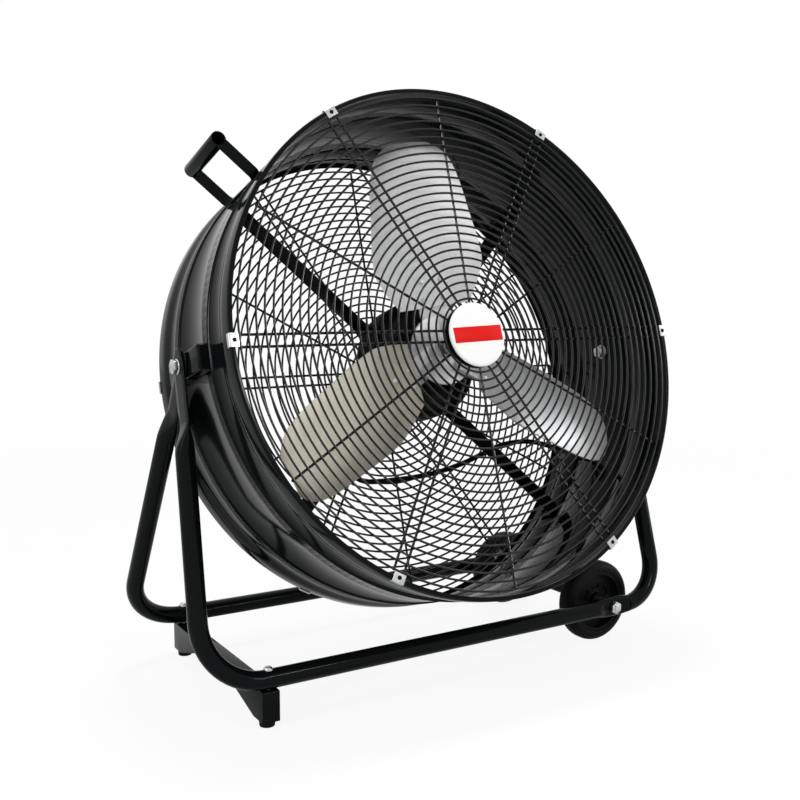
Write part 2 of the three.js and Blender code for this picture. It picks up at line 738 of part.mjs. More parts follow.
function frameTube(railPlace, flatPlace) {
  const up = new THREE.Vector3(0, -railPlace, pivotHeight - railHeight);
  const legLength = up.length();
  up.normalize();
  const base = new THREE.Vector3(0, railPlace, railHeight);
  const planeNormal = X.clone().cross(up);
  const round = { halfAcross: tubeRadius, halfDeep: tubeRadius };
  const flat = { halfAcross: flatHalfThickness, halfDeep: flatHalfWidth };
  const legStart = legLength - flatBelowPivot - flatTaper;
  const legPlace = (side, height, x) => base.clone().addScaledVector(X, side * x).addScaledVector(up, height);
  const leg = (side, bend) => {
    const tip = (share, rise) => ({
      point: legPlace(side, legLength + rise * flatAbovePivot, flatPlace), bend: 0,
      halfAcross: flatHalfThickness, halfDeep: share * flatHalfWidth,
    });
    return [
      tip(0.3, 1), tip(0.72, 0.85), tip(0.94, 0.5), tip(1, 0),
      { point: legPlace(side, legLength - flatBelowPivot, flatPlace), bend: 0, ...flat },
      { point: legPlace(side, legStart, legAxis(legStart / legLength, flatPlace)), bend: 0, ...round },
      { point: legPlace(side, 0, legSpread), bend, ...round },
    ];
  };
  const roll = Math.atan2(-railPlace, pivotHeight - railHeight);
  const rail = (x, half) => ({ point: base.clone().addScaledVector(X, x), bend: 0, ...half });
  const pressed = { halfAcross: axleFlatHalfHeight, halfDeep: axleFlatHalfThickness, roll };
  const axleZone = [
    rail(axlePlace - 2.6 * axleFlatHalfLength, round),
    rail(axlePlace - axleFlatHalfLength, pressed),
    rail(axlePlace + axleFlatHalfLength, pressed),
  ];
  const corners = [...leg(-1, leftBend), ...axleZone, ...leg(1, rightBend).reverse()];
  const tube = loft(bentLine(corners, 5).map((station) => pressedSection(station, planeNormal, 10)));
  const pivotHole = bar(
    new THREE.Vector3(-legSpread, 0, pivotHeight), new THREE.Vector3(legSpread, 0, pivotHeight), boltHole, 12);
  const axleHole = bar(
    new THREE.Vector3(axlePlace, railPlace - 2 * tubeRadius, wheelRadius),
    new THREE.Vector3(axlePlace, railPlace + 2 * tubeRadius, wheelRadius), boltHole, 12);
  const screwHole = bar(
    new THREE.Vector3(footPlace, railPlace, 0), new THREE.Vector3(footPlace, railPlace, 2 * railHeight),
    screwRadius + clearance, 10);
  return cut(tube, pivotHole, axleHole, screwHole);
}

// ---- Foot channel ----

const channelTop = railHeight - tubeRadius - clearance;
const channelStart = frontRailPlace - channelOverhang;
const channelEnd = rearRailPlace + channelOverhang;

function channelOutline(inset, drop) {
  const start = channelStart + inset;
  const end = channelEnd - inset;
  const top = channelTop - inset;
  const low = channelTop - channelDepth - drop;
  const middle = channelTop - channelMiddleDepth - drop;
  return new THREE.Shape([
    [start, low], [start + footSeat, low], [start + channelTaper, middle], [end - channelTaper, middle],
    [end - footSeat, low], [end, low], [end, top], [start, top],
  ].map(([y, z]) => new THREE.Vector2(y, z)));
}

function channelExtrusion(shape, width) {
  return new THREE.ExtrudeGeometry(shape, { depth: width, bevelEnabled: false })
    .translate(0, 0, -width / 2)
    .applyMatrix4(new THREE.Matrix4().makeBasis(Y, Z, X));
}

// A folded channel under both rails, deep at its ends, with its side flanges tapered towards the middle.
function footChannel() {
  const whole = channelExtrusion(channelOutline(0, 0), channelWidth);
  const hollow = channelExtrusion(channelOutline(channelWall, channelDepth), channelWidth - 2 * channelWall);
  const seatHeight = channelTop - channelDepth + channelWall / 2;
  const seat = (y) => block(0, y, seatHeight, channelWidth, footSeat, channelWall);
  const reach = 2 * channelWall;
  const screws = [frontRailPlace, rearRailPlace].map((y) => bar(
    new THREE.Vector3(0, y, channelTop - reach), new THREE.Vector3(0, y, channelTop + reach),
    screwRadius + clearance, 10));
  const open = cut(whole, hollow);
  return cut(joined(open, seat(channelStart + footSeat / 2), seat(channelEnd - footSeat / 2)), ...screws);
}

function rubberFoot() {
  const height = channelTop - channelDepth - clearance;
  const bevel = footRadius / 7;
  return turned([
    [0, 0], [footRadius - bevel, 0], [footRadius, bevel], [footRadius, height], [0, height], [0, 0],
  ], 14).rotateX(Math.PI / 2);
}

// A dome-headed screw down through the rail and the channel's top.
function channelScrew() {
  const seat = railHeight + tubeRadius + clearance;
  const tip = channelTop - channelWall - 2 * screwRadius;
  const headHeight = 1.3 * screwRadius;
  const shank = new THREE.CylinderGeometry(screwRadius, screwRadius, seat + headHeight / 2 - tip, 10)
    .translate(0, (seat + headHeight / 2 + tip) / 2, 0);
  const head = turned([
    [0, seat], [2.1 * screwRadius, seat], [2 * screwRadius, seat + headHeight / 2],
    [1.3 * screwRadius, seat + 0.9 * headHeight], [0, seat + headHeight], [0, seat],
  ], 14);
  return joined(shank, head).rotateX(Math.PI / 2);
}

function addFoot() {
  addTo(fan, 'foot_channel', footChannel(), blackPaint).position.x = footPlace;
  const inward = footSeat / 2;
  const ends = [
    ['front', frontRailPlace, channelStart + inward],
    ['rear', rearRailPlace, channelEnd - inward],
  ];
  for (const [end, screwY, footY] of ends) {
    addTo(fan, `rubber_foot_${end}`, rubberFoot(), blackRubber).position.set(footPlace, footY, 0);
    addTo(fan, `channel_screw_${end}`, channelScrew(), zinc).position.set(footPlace, screwY, 0);
  }
}

// ---- Axle and wheels ----

const axleFront = frontRailPlace - axleFlatHalfThickness;
const axleRear = rearRailPlace + axleFlatHalfThickness;
const frontWheelFace = frontRailPlace + axleFlatHalfThickness + wheelGap;
const rearWheelFace = rearRailPlace - axleFlatHalfThickness - wheelGap;

function wheelHub() {
  const half = wheelWidth / 2;
  const rim = wheelRadius - tyreDepth - clearance;
  const edge = 0.9 * half;
  const side = [
    [boltHole, half], [wheelBossRadius, half], [wheelBossRadius, 0.42 * half], [rim - hubWall, 0.23 * half],
    [rim - hubWall, edge], [rim, edge],
  ];
  return turned(bothSides(side), wheelFacets);
}

function tyre() {
  const half = wheelWidth / 2;
  const bore = wheelRadius - tyreDepth;
  const shoulder = wheelRadius - tyreDepth / 8;
  const side = [[bore, half], [bore + tyreDepth / 2, half], [shoulder, 0.8 * half], [wheelRadius, half / 2]];
  return turned(bothSides(side), wheelFacets);
}

function addWheels() {
  const axle = new THREE.Group();
  axle.position.set(axlePlace, 0, wheelRadius);
  fan.add(axle);
  const tail = clearance + 1.2 * nutThickness;
  const axleLength = axleRear - axleFront + 2 * tail;
  addTo(axle, 'wheel_axle', new THREE.CylinderGeometry(boltRadius, boltRadius, axleLength, 12), zinc)
    .position.y = (axleFront + axleRear) / 2;
  const bore = new THREE.CylinderGeometry(boltHole, boltHole, 4 * nutThickness, 12);
  const nut = cut(hexagon(boltHeadAcross, -nutThickness / 2, nutThickness / 2), bore);
  const ends = [
    ['front', 1, axleFront, frontWheelFace],
    ['rear', -1, axleRear, rearWheelFace],
  ];
  for (const [end, inward, railFace, wheelFace] of ends) {
    const railInside = railFace + inward * 2 * axleFlatHalfThickness;
    addTo(axle, `axle_nut_${end}`, nut, zinc).position.y = railFace - inward * (clearance + nutThickness / 2);
    const spacer = wheelGap - 2 * clearance;
    const spacerPipe = pipe(boltHole + sleeveWall, boltHole, -spacer / 2, spacer / 2, 12);
    addTo(axle, `axle_spacer_${end}`, spacerPipe, zinc).position.y = railInside + inward * wheelGap / 2;
    const wheelMiddle = wheelFace + inward * wheelWidth / 2;
    addTo(axle, `wheel_hub_${end}`, wheelHub(), blackPlastic).position.y = wheelMiddle;
    addTo(axle, `tyre_${end}`, tyre(), blackRubber).position.y = wheelMiddle;
  }
  const sleeveStart = frontWheelFace + wheelWidth + clearance;
  const sleeveEnd = rearWheelFace - wheelWidth - clearance;
  addTo(axle, 'axle_sleeve', pipe(boltHole + sleeveWall, boltHole, sleeveStart, sleeveEnd, 12), blackPaint);
}

// ---- Assembly ----

addGuards();
addTo(drum, 'badge_disc', badgeDisc(), whitePlate);
addHandle();
addPivots();
addMotor();
addSwitch();
shellHoles.push(bar(
  atDrum(switchAngle, bandRadius - 10 * drumWall, 0), atDrum(switchAngle, bandRadius + drumWall, 0),
  leadRadius + 2 * clearance, 10));
addTo(drum, 'drum_shell', cut(drumShell(), ...shellHoles), blackPaint);
addTo(fan, 'front_frame_tube', frameTube(frontRailPlace, frontFlatPlace), blackPaint);
addTo(fan, 'rear_frame_tube', frameTube(rearRailPlace, rearFlatPlace), blackPaint);
addFoot();
addWheels();

// The origin is on the floor, under the middle of the fan.
const bounds = new THREE.Box3().setFromObject(fan, true);
fan.position.x = -(bounds.min.x + bounds.max.x) / 2;
fan.position.y = -(bounds.min.y + bounds.max.y) / 2;

export default fan;
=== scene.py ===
# Drum fan: detailed pieces, finishes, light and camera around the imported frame.
# Pieces, the lens and its sensor are in millimetres, all else is in metres, and angles are in degrees.
import json
import math

import bmesh
import bpy
from mathutils import Matrix, Quaternion, Vector


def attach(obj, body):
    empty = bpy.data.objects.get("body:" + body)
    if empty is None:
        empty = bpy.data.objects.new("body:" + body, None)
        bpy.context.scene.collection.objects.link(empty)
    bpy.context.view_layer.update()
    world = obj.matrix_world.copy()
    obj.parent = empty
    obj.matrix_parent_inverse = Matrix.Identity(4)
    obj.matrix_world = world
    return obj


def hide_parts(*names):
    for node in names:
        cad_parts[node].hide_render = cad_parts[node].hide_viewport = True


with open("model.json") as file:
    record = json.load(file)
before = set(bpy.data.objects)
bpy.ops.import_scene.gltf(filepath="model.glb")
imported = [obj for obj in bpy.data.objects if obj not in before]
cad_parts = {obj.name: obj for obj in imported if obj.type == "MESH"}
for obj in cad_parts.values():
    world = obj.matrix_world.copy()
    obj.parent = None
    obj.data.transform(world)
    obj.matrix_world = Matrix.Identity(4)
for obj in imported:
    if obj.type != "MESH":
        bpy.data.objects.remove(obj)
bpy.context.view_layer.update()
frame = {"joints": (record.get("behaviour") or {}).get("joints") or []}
radians = math.radians

# places that all pieces share
tiltAtRest = 16.3
tiltAxis = Vector(next(joint["pos_m"] for joint in frame["joints"] if joint["name"] == "drum_tilt"))
toMetres = Matrix.Scale(0.001, 4)
onStand = Matrix.Translation((tiltAxis.x, tiltAxis.y, 0)) @ toMetres
onDrum = Matrix.Translation(tiltAxis) @ Matrix.Rotation(radians(90 - tiltAtRest), 4, "X") @ toMetres
xAxis, zAxis = Vector((1, 0, 0)), Vector((0, 0, 1))
clearance = 0.3
mergeDistance = 0.000005  # metres


# camera
camera = {
    "azimuth": -31.566,
    "elevation": 5.6385,
    "place": (-0.79376, -1.22655, 0.5330),
    "lens": 45.448,
    "sensor": 36,
    "clipStart": 0.05,
}


def placeCamera():
    azimuth, elevation = radians(camera["azimuth"]), radians(camera["elevation"])
    back = Vector((math.sin(azimuth) * math.cos(elevation), -math.cos(azimuth) * math.cos(elevation),
                   math.sin(elevation)))
    right = Vector((math.cos(azimuth), math.sin(azimuth), 0))
    turned = Matrix((right, back.cross(right), back)).transposed().to_4x4()
    data = bpy.data.cameras.new("camera")
    data.lens = camera["lens"]
    data.sensor_width = camera["sensor"]
    data.clip_start = camera["clipStart"]
    made = bpy.data.objects.new("camera", data)
    made.matrix_world = Matrix.Translation(camera["place"]) @ turned
    bpy.context.scene.collection.objects.link(made)
    bpy.context.scene.camera = made


placeCamera()
print("camera placed")


# shader maths and finishes
class Shade:  # a socket of a material, on which Python's operators add Math nodes
    def __init__(self, tree, socket=None):
        self.tree = tree
        self.socket = socket

    def node(self, kind, sockets=None, out=0, **settings):
        made = self.tree.nodes.new("ShaderNode" + kind)
        for key, value in settings.items():
            setattr(made, key, value)
        for key, value in (sockets or {}).items():
            if isinstance(value, Shade):
                self.tree.links.new(value.socket, made.inputs[key])
            else:
                made.inputs[key].default_value = value
        return Shade(self.tree, made.outputs[out])

    def math(self, operation, first, second):
        return self.node("Math", {0: first, 1: second}, operation=operation)

    def __add__(self, other):
        return self.math("ADD", self, other)

    def __sub__(self, other):
        return self.math("SUBTRACT", self, other)

    def __mul__(self, other):
        return self.math("MULTIPLY", self, other)

    __radd__ = __add__

    def blend(self, factor, first, second):
        return self.node("Mix", {0: factor, 6: first, 7: second}, out=2, data_type="RGBA")

    def noise(self, spot, scale, detail, rough=0.5):
        return self.node("TexNoise", {"Vector": spot, "Scale": scale, "Detail": detail, "Roughness": rough})

    def onTheDrum(self):  # metres from the tilt axis, with Z out of the drum's front
        place = {"Vector": self.node("TexCoord", out=3), "Location": tiltAxis,
                 "Rotation": (radians(90 - tiltAtRest), 0, 0)}
        return self.node("Mapping", place, vector_type="TEXTURE")


def newFinish(name, metallic=0.0, specular=0.5, coat=0.0):
    material = bpy.data.materials.new(name)
    material.use_nodes = True
    shader = material.node_tree.nodes["Principled BSDF"]
    shader.inputs["Metallic"].default_value = metallic
    shader.inputs["Specular IOR Level"].default_value = specular
    shader.inputs["Coat Weight"].default_value = coat
    shader.inputs["Coat Roughness"].default_value = 0.1
    return material, Shade(material.node_tree), shader


def feed(shade, shader, socket, value):
    shade.tree.links.new(value.socket, shader.inputs[socket])


def feedBump(shade, shader, height, depth, strength):
    bump = shade.node("Bump", {"Height": height, "Distance": depth, "Strength": strength})
    feed(shade, shader, "Normal", bump)


def powderCoat(name, dark, light, roughness, specular):
    material, shade, shader = newFinish(name, specular=specular)
    spot = shade.node("TexCoord", out=3)
    broad = shade.noise(spot, 7, 3)
    fine = shade.noise(spot, 850, 1)
    dust = shade.noise(spot, 95, 5, 0.7)
    feed(shade, shader, "Base Color", shade.blend(broad * 0.7 + dust * 0.3, dark, light))
    feed(shade, shader, "Roughness", roughness + (broad - 0.5) * 0.07 + (dust - 0.5) * 0.06)
    feedBump(shade, shader, fine + dust * 0.5, 0.00004, 0.35)
    return material


def zincPlate(name):
    material, shade, shader = newFinish(name, metallic=1.0)
    spot = shade.node("TexCoord", out=3)
    cloud = shade.noise(spot, 130, 4, 0.6)
    grain = shade.noise(spot, 1500, 2)
    feed(shade, shader, "Base Color", shade.blend(cloud, (0.36, 0.37, 0.41, 1), (0.68, 0.68, 0.66, 1)))
    feed(shade, shader, "Roughness", 0.2 + cloud * 0.2)
    feedBump(shade, shader, grain, 0.00002, 0.4)
    return material


def satinMetal(name, dark, light, metallic):
    material, shade, shader = newFinish(name, metallic=metallic)
    spot = shade.onTheDrum()
    streaked = shade.node("Mapping", {"Vector": spot, "Scale": (240, 9, 60)})
    streaks = shade.noise(streaked, 1.0, 4, 0.6)
    cloud = shade.noise(spot, 14, 3)
    feed(shade, shader, "Base Color", shade.blend(streaks * 0.45 + cloud * 0.55, dark, light))
    feed(shade, shader, "Roughness", 0.28 + streaks * 0.14 + cloud * 0.08)
    feedBump(shade, shader, streaks, 0.00006, 0.3)
    return material


def moulded(name, dark, light, roughness, grainScale, grainDepth):
    material, shade, shader = newFinish(name, specular=0.07)
    spot = shade.node("TexCoord", out=3)
    cloud = shade.noise(spot, 35, 4, 0.6)
    grain = shade.node("TexVoronoi", {"Vector": spot, "Scale": grainScale})
    feed(shade, shader, "Base Color", shade.blend(cloud, dark, light))
    feed(shade, shader, "Roughness", roughness + (cloud - 0.5) * 0.16)
    feedBump(shade, shader, grain, grainDepth, 0.5)
    return material


def enamel(name, colour, shadow, specular, coat):
    material, shade, shader = newFinish(name, specular=specular, coat=coat)
    spot = shade.node("TexCoord", out=3)
    cloud = shade.noise(spot, 50, 4)
    feed(shade, shader, "Base Color", shade.blend(cloud * 0.5, colour, shadow))
    feed(shade, shader, "Roughness", 0.35 + cloud * 0.12)
    feedBump(shade, shader, shade.noise(spot, 600, 1), 0.00002, 0.2)
    return material


blackPaint = powderCoat("black_paint", (0.002, 0.0025, 0.0028, 1), (0.0045, 0.006, 0.0064, 1), 0.11, 0.065)
blackWire = powderCoat("black_wire", (0.002, 0.0023, 0.0025, 1), (0.0045, 0.005, 0.0055, 1), 0.2, 0.3)
motorBlack = powderCoat("motor_paint", (0.0025, 0.0025, 0.0028, 1), (0.0055, 0.0055, 0.006, 1), 0.4, 0.07)
zinc = zincPlate("zinc")
satinBlade = satinMetal("satin_aluminium", (0.8, 0.8, 0.81, 1), (0.97, 0.97, 0.98, 1), 0.6)
# painted shade: a darker, warmer copy of the same blade aluminium, used for blade 3 only
paintedShadeBlade = satinMetal("satin_aluminium_painted_shade", (0.62, 0.58, 0.47, 1), (0.9, 0.86, 0.74, 1), 0.6)
blackPlastic = moulded("black_plastic", (0.003, 0.003, 0.0035, 1), (0.007, 0.007, 0.008, 1), 0.4,
                       1400, 0.00005)
blackRubber = moulded("black_rubber", (0.003, 0.003, 0.003, 1), (0.007, 0.007, 0.0075, 1), 0.55,
                      700, 0.00006)
whiteEnamel = enamel("white_enamel", (0.93, 0.93, 0.93, 1), (0.86, 0.86, 0.85, 1), 0.5, 0.3)
redEnamel = enamel("red_enamel", (0.76, 0.008, 0.006, 1), (0.66, 0.006, 0.005, 1), 0.1, 0.0)
print("finishes made")


# shape helpers
def keep(name, shape, place, body, finish, replaced=(), sharp=32):
    shape.transform(place)
    bmesh.ops.remove_doubles(shape, verts=shape.verts, dist=mergeDistance)
    bmesh.ops.recalc_face_normals(shape, faces=shape.faces)
    mesh = bpy.data.meshes.new(name)
    shape.to_mesh(mesh)
    shape.free()
    mesh.materials.append(finish)
    mesh.polygons.foreach_set("use_smooth", [True] * len(mesh.polygons))
    mesh.set_sharp_from_angle(angle=radians(sharp))
    made = bpy.data.objects.new(name, mesh)
    bpy.context.scene.collection.objects.link(made)
    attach(made, body)
    if replaced:
        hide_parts(*replaced)


def moved(x=0, y=0, z=0):
    return Matrix.Translation((x, y, z))


def rotated(angle, axis):
    return Matrix.Rotation(radians(angle), 4, axis)


def around(angle):  # turns what is drawn at the drum's top, along local Y, towards +X
    return rotated(-angle, "Z")


def shares(count):
    return [k / count for k in range(count + 1)]


def verts(made):
    return [item for item in made["geom"] if isinstance(item, bmesh.types.BMVert)]


def edgesOf(made):
    return list({edge for vert in made for edge in vert.link_edges})


def bevelled(shape, edges, offset, segments):
    bmesh.ops.bevel(shape, geom=edges, offset=offset, segments=segments, profile=0.5, affect="EDGES",
                    material=-1)


def softened(points, closed=False, steps=4):  # rounds each corner that has a third number, its setback
    rounded = []
    for i, point in enumerate(points):
        corner = Vector(point[:2])
        inside = closed or 0 < i < len(points) - 1
        if len(point) == 2 or not inside:
            rounded.append(tuple(corner))
            continue
        before = Vector(points[i - 1][:2])
        after = Vector(points[(i + 1) % len(points)][:2])
        start = corner + (before - corner).normalized() * point[2]
        end = corner + (after - corner).normalized() * point[2]
        for t in shares(steps):
            rounded.append(tuple(start * (1 - t) ** 2 + corner * (2 * t * (1 - t)) + end * t * t))
    return rounded


def spun(shape, profile, steps, place=None):  # profile points are (radius, height), in a closed line
    known = set(shape.verts)
    points = [shape.verts.new((radius, 0, height)) for radius, height in profile]
    edges = [shape.edges.new(pair) for pair in zip(points, points[1:] + points[:1])]
    bmesh.ops.spin(shape, geom=points + edges, cent=(0, 0, 0), axis=zAxis, angle=2 * math.pi,
                   steps=steps, use_merge=True)
    if place:
        bmesh.ops.transform(shape, matrix=place, verts=[vert for vert in shape.verts if vert not in known])


def pipeProfile(outer, inner, start, end, edge=0.6):
    corners = [(inner, start, edge), (outer, start, edge), (outer, end, edge), (inner, end, edge)]
    return softened(corners, True, 3)


def mirrored(side):  # a profile that starts and ends at height 0, then its mirror image
    return side + [(radius, -height) for radius, height in reversed(side)][1:-1]


def bentLine(corners, steps):
    stations = []
    for i, corner in enumerate(corners):
        at = corner["at"]
        into = (at - corners[max(i - 1, 0)]["at"]).normalized()
        away = (corners[min(i + 1, len(corners) - 1)]["at"] - at).normalized()
        bend = corner.get("bend", 0)
        if not bend:
            stations.append({**corner, "way": (into + away).normalized()})
            continue
        turn = into.angle(away)
        axis = into.cross(away).normalized()
        start = at - into * bend * math.tan(turn / 2)
        centre = start + axis.cross(into) * bend
        for t in shares(steps):
            spin = Quaternion(axis, turn * t)
            stations.append({**corner, "at": centre + spin @ (start - centre), "way": spin @ into})
    return stations


def push(value, room):
    return max(-1.0, min(1.0, 3 * value)) * room


# sweeps a section along stations; it is round where both half sizes are equal, and else has two flat faces
def sweep(shape, stations, side, sides):
    turns = shape.verts.layers.float.new("turn")
    ring = bmesh.ops.create_circle(shape, segments=sides, radius=1)["verts"]
    for vert in ring:
        vert[turns] = math.atan2(vert.co.y, vert.co.x)
    edges = list({edge for vert in ring for edge in vert.link_edges})
    first = list(edges)
    for i, station in enumerate(stations):
        if i:
            grown = bmesh.ops.extrude_edge_only(shape, edges=edges)
            ring = verts(grown)
            inRing = set(ring)
            edges = [item for item in grown["geom"] if isinstance(item, bmesh.types.BMEdge)
                     and item.verts[0] in inRing and item.verts[1] in inRing]
        way = station["way"]
        deep = Quaternion(way, station.get("roll", 0)) @ station.get("side", side)
        across = deep.cross(way).normalized()
        halfAcross, halfDeep = station["half"]
        thin = min(halfAcross, halfDeep)
        for vert in ring:
            c, s = math.cos(vert[turns]), math.sin(vert[turns])
            vert.co = (station["at"] + across * (c * thin + push(c, halfAcross - thin))
                       + deep * (s * thin + push(s, halfDeep - thin)))
    bmesh.ops.edgeloop_fill(shape, edges=first)
    bmesh.ops.edgeloop_fill(shape, edges=edges)


def eased(first, last, count):  # the stations between two corners, with half sizes that pass smoothly
    between = []
    for k in range(1, count):
        t = k / count
        smooth = t * t * (3 - 2 * t)
        half = tuple(a + (b - a) * smooth for a, b in zip(first["half"], last["half"]))
        between.append({**first, "at": first["at"].lerp(last["at"], t), "half": half, "bend": 0})
    return between


def box(shape, size, place):
    return bmesh.ops.create_cube(shape, size=1, matrix=place @ Matrix.Diagonal((*size, 1)))["verts"]


def block(shape, size, place, edge, segments):
    bevelled(shape, edgesOf(box(shape, size, place)), edge, segments)


def hexagon(shape, acrossFlats, start, end, edge, place=Matrix()):
    radius = acrossFlats / math.sqrt(3)
    made = bmesh.ops.create_cone(shape, cap_ends=True, segments=6, radius1=radius, radius2=radius,
                                 depth=end - start, matrix=place @ moved(z=(start + end) / 2))["verts"]
    bevelled(shape, edgesOf(made), edge, 2)


def rod(shape, start, end, radius, sides):
    along = end - start
    place = Matrix.Translation((start + end) / 2) @ along.to_track_quat("Z", "Y").to_matrix().to_4x4()
    bmesh.ops.create_cone(shape, cap_ends=True, segments=sides, radius1=radius, radius2=radius,
                          depth=along.length, matrix=place)


# drum shell
drumShell = {
    "bandRadius": 345,
    "rimRadius": 350,
    "halfDepth": 132.5,
    "wall": 1.6,
    "beadPlace": 55,
    "beadWidth": 8,
    "beadHeight": 3,
    "beadPower": 0.8,
    "rimWidth": 19,
    "flareLength": 26,
    "lip": 6,
    "steps": 180,
}


def makeDrumShell():
    band, rim, wall = drumShell["bandRadius"], drumShell["rimRadius"], drumShell["wall"]
    face, lip = drumShell["halfDepth"], rim - drumShell["lip"]
    bead = []
    for t in shares(10):
        rise = drumShell["beadHeight"] * (0.5 - 0.5 * math.cos(2 * math.pi * t)) ** drumShell["beadPower"]
        bead.append((band + rise, drumShell["beadPlace"] + drumShell["beadWidth"] * (t - 0.5)))
    flareEnd = face - drumShell["rimWidth"]
    flare = []
    for t in shares(8):
        flare.append((band + (rim - band) * (0.5 - 0.5 * math.cos(math.pi * t)),
                      flareEnd - drumShell["flareLength"] * (1 - t)))
    edge = softened([(rim, flareEnd), (rim, face, 2.6), (lip, face, 0.9), (lip, face - wall),
                     (rim - wall, face - wall, 1.2), (rim - wall, flareEnd)])[1:]
    outside = [(band, 0.0)] + bead + flare
    inside = [(radius - wall, height) for radius, height in reversed(outside)]
    shape = bmesh.new()
    spun(shape, mirrored(outside + edge + inside), drumShell["steps"])
    keep("drum_shell_rolled", shape, onDrum, "drum", blackPaint, ["drum_shell"], sharp=50)


makeDrumShell()
print("drum shell made")

# guards
guard = {
    "rings": 27,
    "outer": 337,
    "pitch": 11.45,
    "wire": 1.5,
    "stayWire": 1.7,
    "inset": 1.5,
    "pairGap": 15,
    "wireSides": 8,
    "staySides": 10,
    "steps": 144,
    "weld": 1.1,
    "pairShort": 1,
    "plate": 44,
    "plateThick": 3,
    "plateLap": 8,
    "joining": (0, 180),
    "single": (60, 120, 240, 300),
    "clips": (-150, -90, -30, 30, 90, 150),
}
ringPlace = drumShell["halfDepth"] - guard["inset"]
joinPlace = ringPlace - guard["wire"] - guard["stayWire"] + guard["weld"]
stayPlace = ringPlace - guard["wire"] - guard["stayWire"] - clearance
innerRing = guard["outer"] - (guard["rings"] - 1) * guard["pitch"]


def radialWire(shape, angle, start, end, place, offset=0):
    turned = around(angle)
    rod(shape, turned @ Vector((offset, start, place)), turned @ Vector((offset, end, place)),
        guard["stayWire"], guard["staySides"])


def makeGuard(end, turn):
    shape = bmesh.new()
    for i in range(guard["rings"]):
        radius = guard["outer"] - i * guard["pitch"]
        bmesh.ops.create_circle(shape, segments=guard["wireSides"], radius=guard["wire"],
                                matrix=moved(radius, 0, ringPlace) @ rotated(90, "X"))
    bmesh.ops.spin(shape, geom=shape.verts[:] + shape.edges[:], cent=(0, 0, 0), axis=zAxis,
                   angle=2 * math.pi, steps=guard["steps"], use_merge=True)
    place, reach = onDrum @ turn, guard["outer"] + guard["wire"]
    for angle in guard["joining"]:
        radialWire(shape, angle, innerRing - guard["wire"], reach, joinPlace)
    keep(f"{end}_guard_ring_wires", shape, place, "drum", blackWire, [f"{end}_guard_rings"])
    shape = bmesh.new()
    start = guard["plate"] - guard["plateLap"]
    for angle in guard["single"]:
        radialWire(shape, angle, start, reach, stayPlace)
    for angle in guard["clips"]:
        for side in (-1, 1):
            radialWire(shape, angle, start, reach - guard["pairShort"], stayPlace,
                       side * guard["pairGap"] / 2)
    radius, front = guard["plate"], stayPlace - guard["stayWire"] + clearance
    back = front - guard["plateThick"]
    spun(shape, softened([(0, front), (radius, front, 0.8), (radius, back, 0.8), (0, back)]), 96)
    keep(f"{end}_guard_stay_wires", shape, place, "drum", blackWire, [f"{end}_guard_stays"])


frontSide = Matrix()
rearSide = rotated(180, "Y")  # the rear guard is the front one turned about the upright
makeGuard("front", frontSide)
makeGuard("rear", rearSide)

rimClip = {"width": 17, "reach": 5, "overRim": 11, "sheet": 1.6, "screw": (2.8, 1.5)}


def makeScrewHead(shape, place, radius=4.2, height=2.2):
    spun(shape, softened([(0, height), (radius * 0.7, height, 0.8), (radius, height * 0.35, 0.4),
                          (radius, 0), (0, 0)]), 28, place)
    for turn in (20, 110):  # two bars that cross
        block(shape, (radius * 1.15, 0.9, 0.5), place @ rotated(turn, "Z") @ moved(z=height - 0.05), 0.15, 1)


def makeClips(end, turn):
    rim, face = drumShell["rimRadius"] + clearance, drumShell["halfDepth"] + clearance
    sheet, over = rimClip["sheet"], rimClip["overRim"]
    half = (sheet / 2, rimClip["width"] / 2)
    for i, angle in enumerate(guard["clips"]):
        shape = bmesh.new()
        line = bentLine([
            {"at": Vector((0, rim + sheet / 2, face - rimClip["reach"])), "half": half},
            {"at": Vector((0, rim + sheet / 2, face + sheet / 2)), "bend": sheet, "half": half},
            {"at": Vector((0, rim - over, face + sheet / 2)), "half": half},
        ], 4)
        sweep(shape, line, xAxis, 24)
        place = onDrum @ turn @ around(angle)
        keep(f"{end}_clip_folded_{i + 1}", shape, place, "drum", zinc, [f"{end}_rim_clip_{i + 1}"])
        shape = bmesh.new()
        makeScrewHead(shape, moved(0, rim - over / 2, face + sheet), *rimClip["screw"])
        keep(f"{end}_clip_screw_{i + 1}", shape, place, "drum", blackPaint)


makeClips("front", frontSide)
makeClips("rear", rearSide)

badge = {"radius": 44, "thick": 5, "rim": 2.5, "panel": (78, 21, 0.5), "panelTurn": 2.5}


def makeBadge():
    back = ringPlace + guard["wire"] + clearance
    front, radius = back + badge["thick"], badge["radius"]
    shape = bmesh.new()
    spun(shape, softened([(0, back), (radius, back, 0.5), (radius, front - 2.2, 1.4),
                          (radius - badge["rim"], front - 0.4, 1.5), (0, front - 0.3)]), 96)
    keep("badge_dish", shape, onDrum, "drum", whiteEnamel, ["badge_disc"])
    shape = bmesh.new()
    block(shape, badge["panel"], moved(z=front - 0.15) @ rotated(badge["panelTurn"], "Z"), 0.2, 2)
    keep("badge_panel", shape, onDrum, "drum", redEnamel)


makeBadge()
print("guards made")

# handle
handle = {
    "angle": -46,
    "height": 68.5,
    "length": 106,
    "radius": 10.4,
    "bore": 8.8,
    "strap": (1.5, 8.8),
    "reach": 49.7,
    "bend": 7,
}


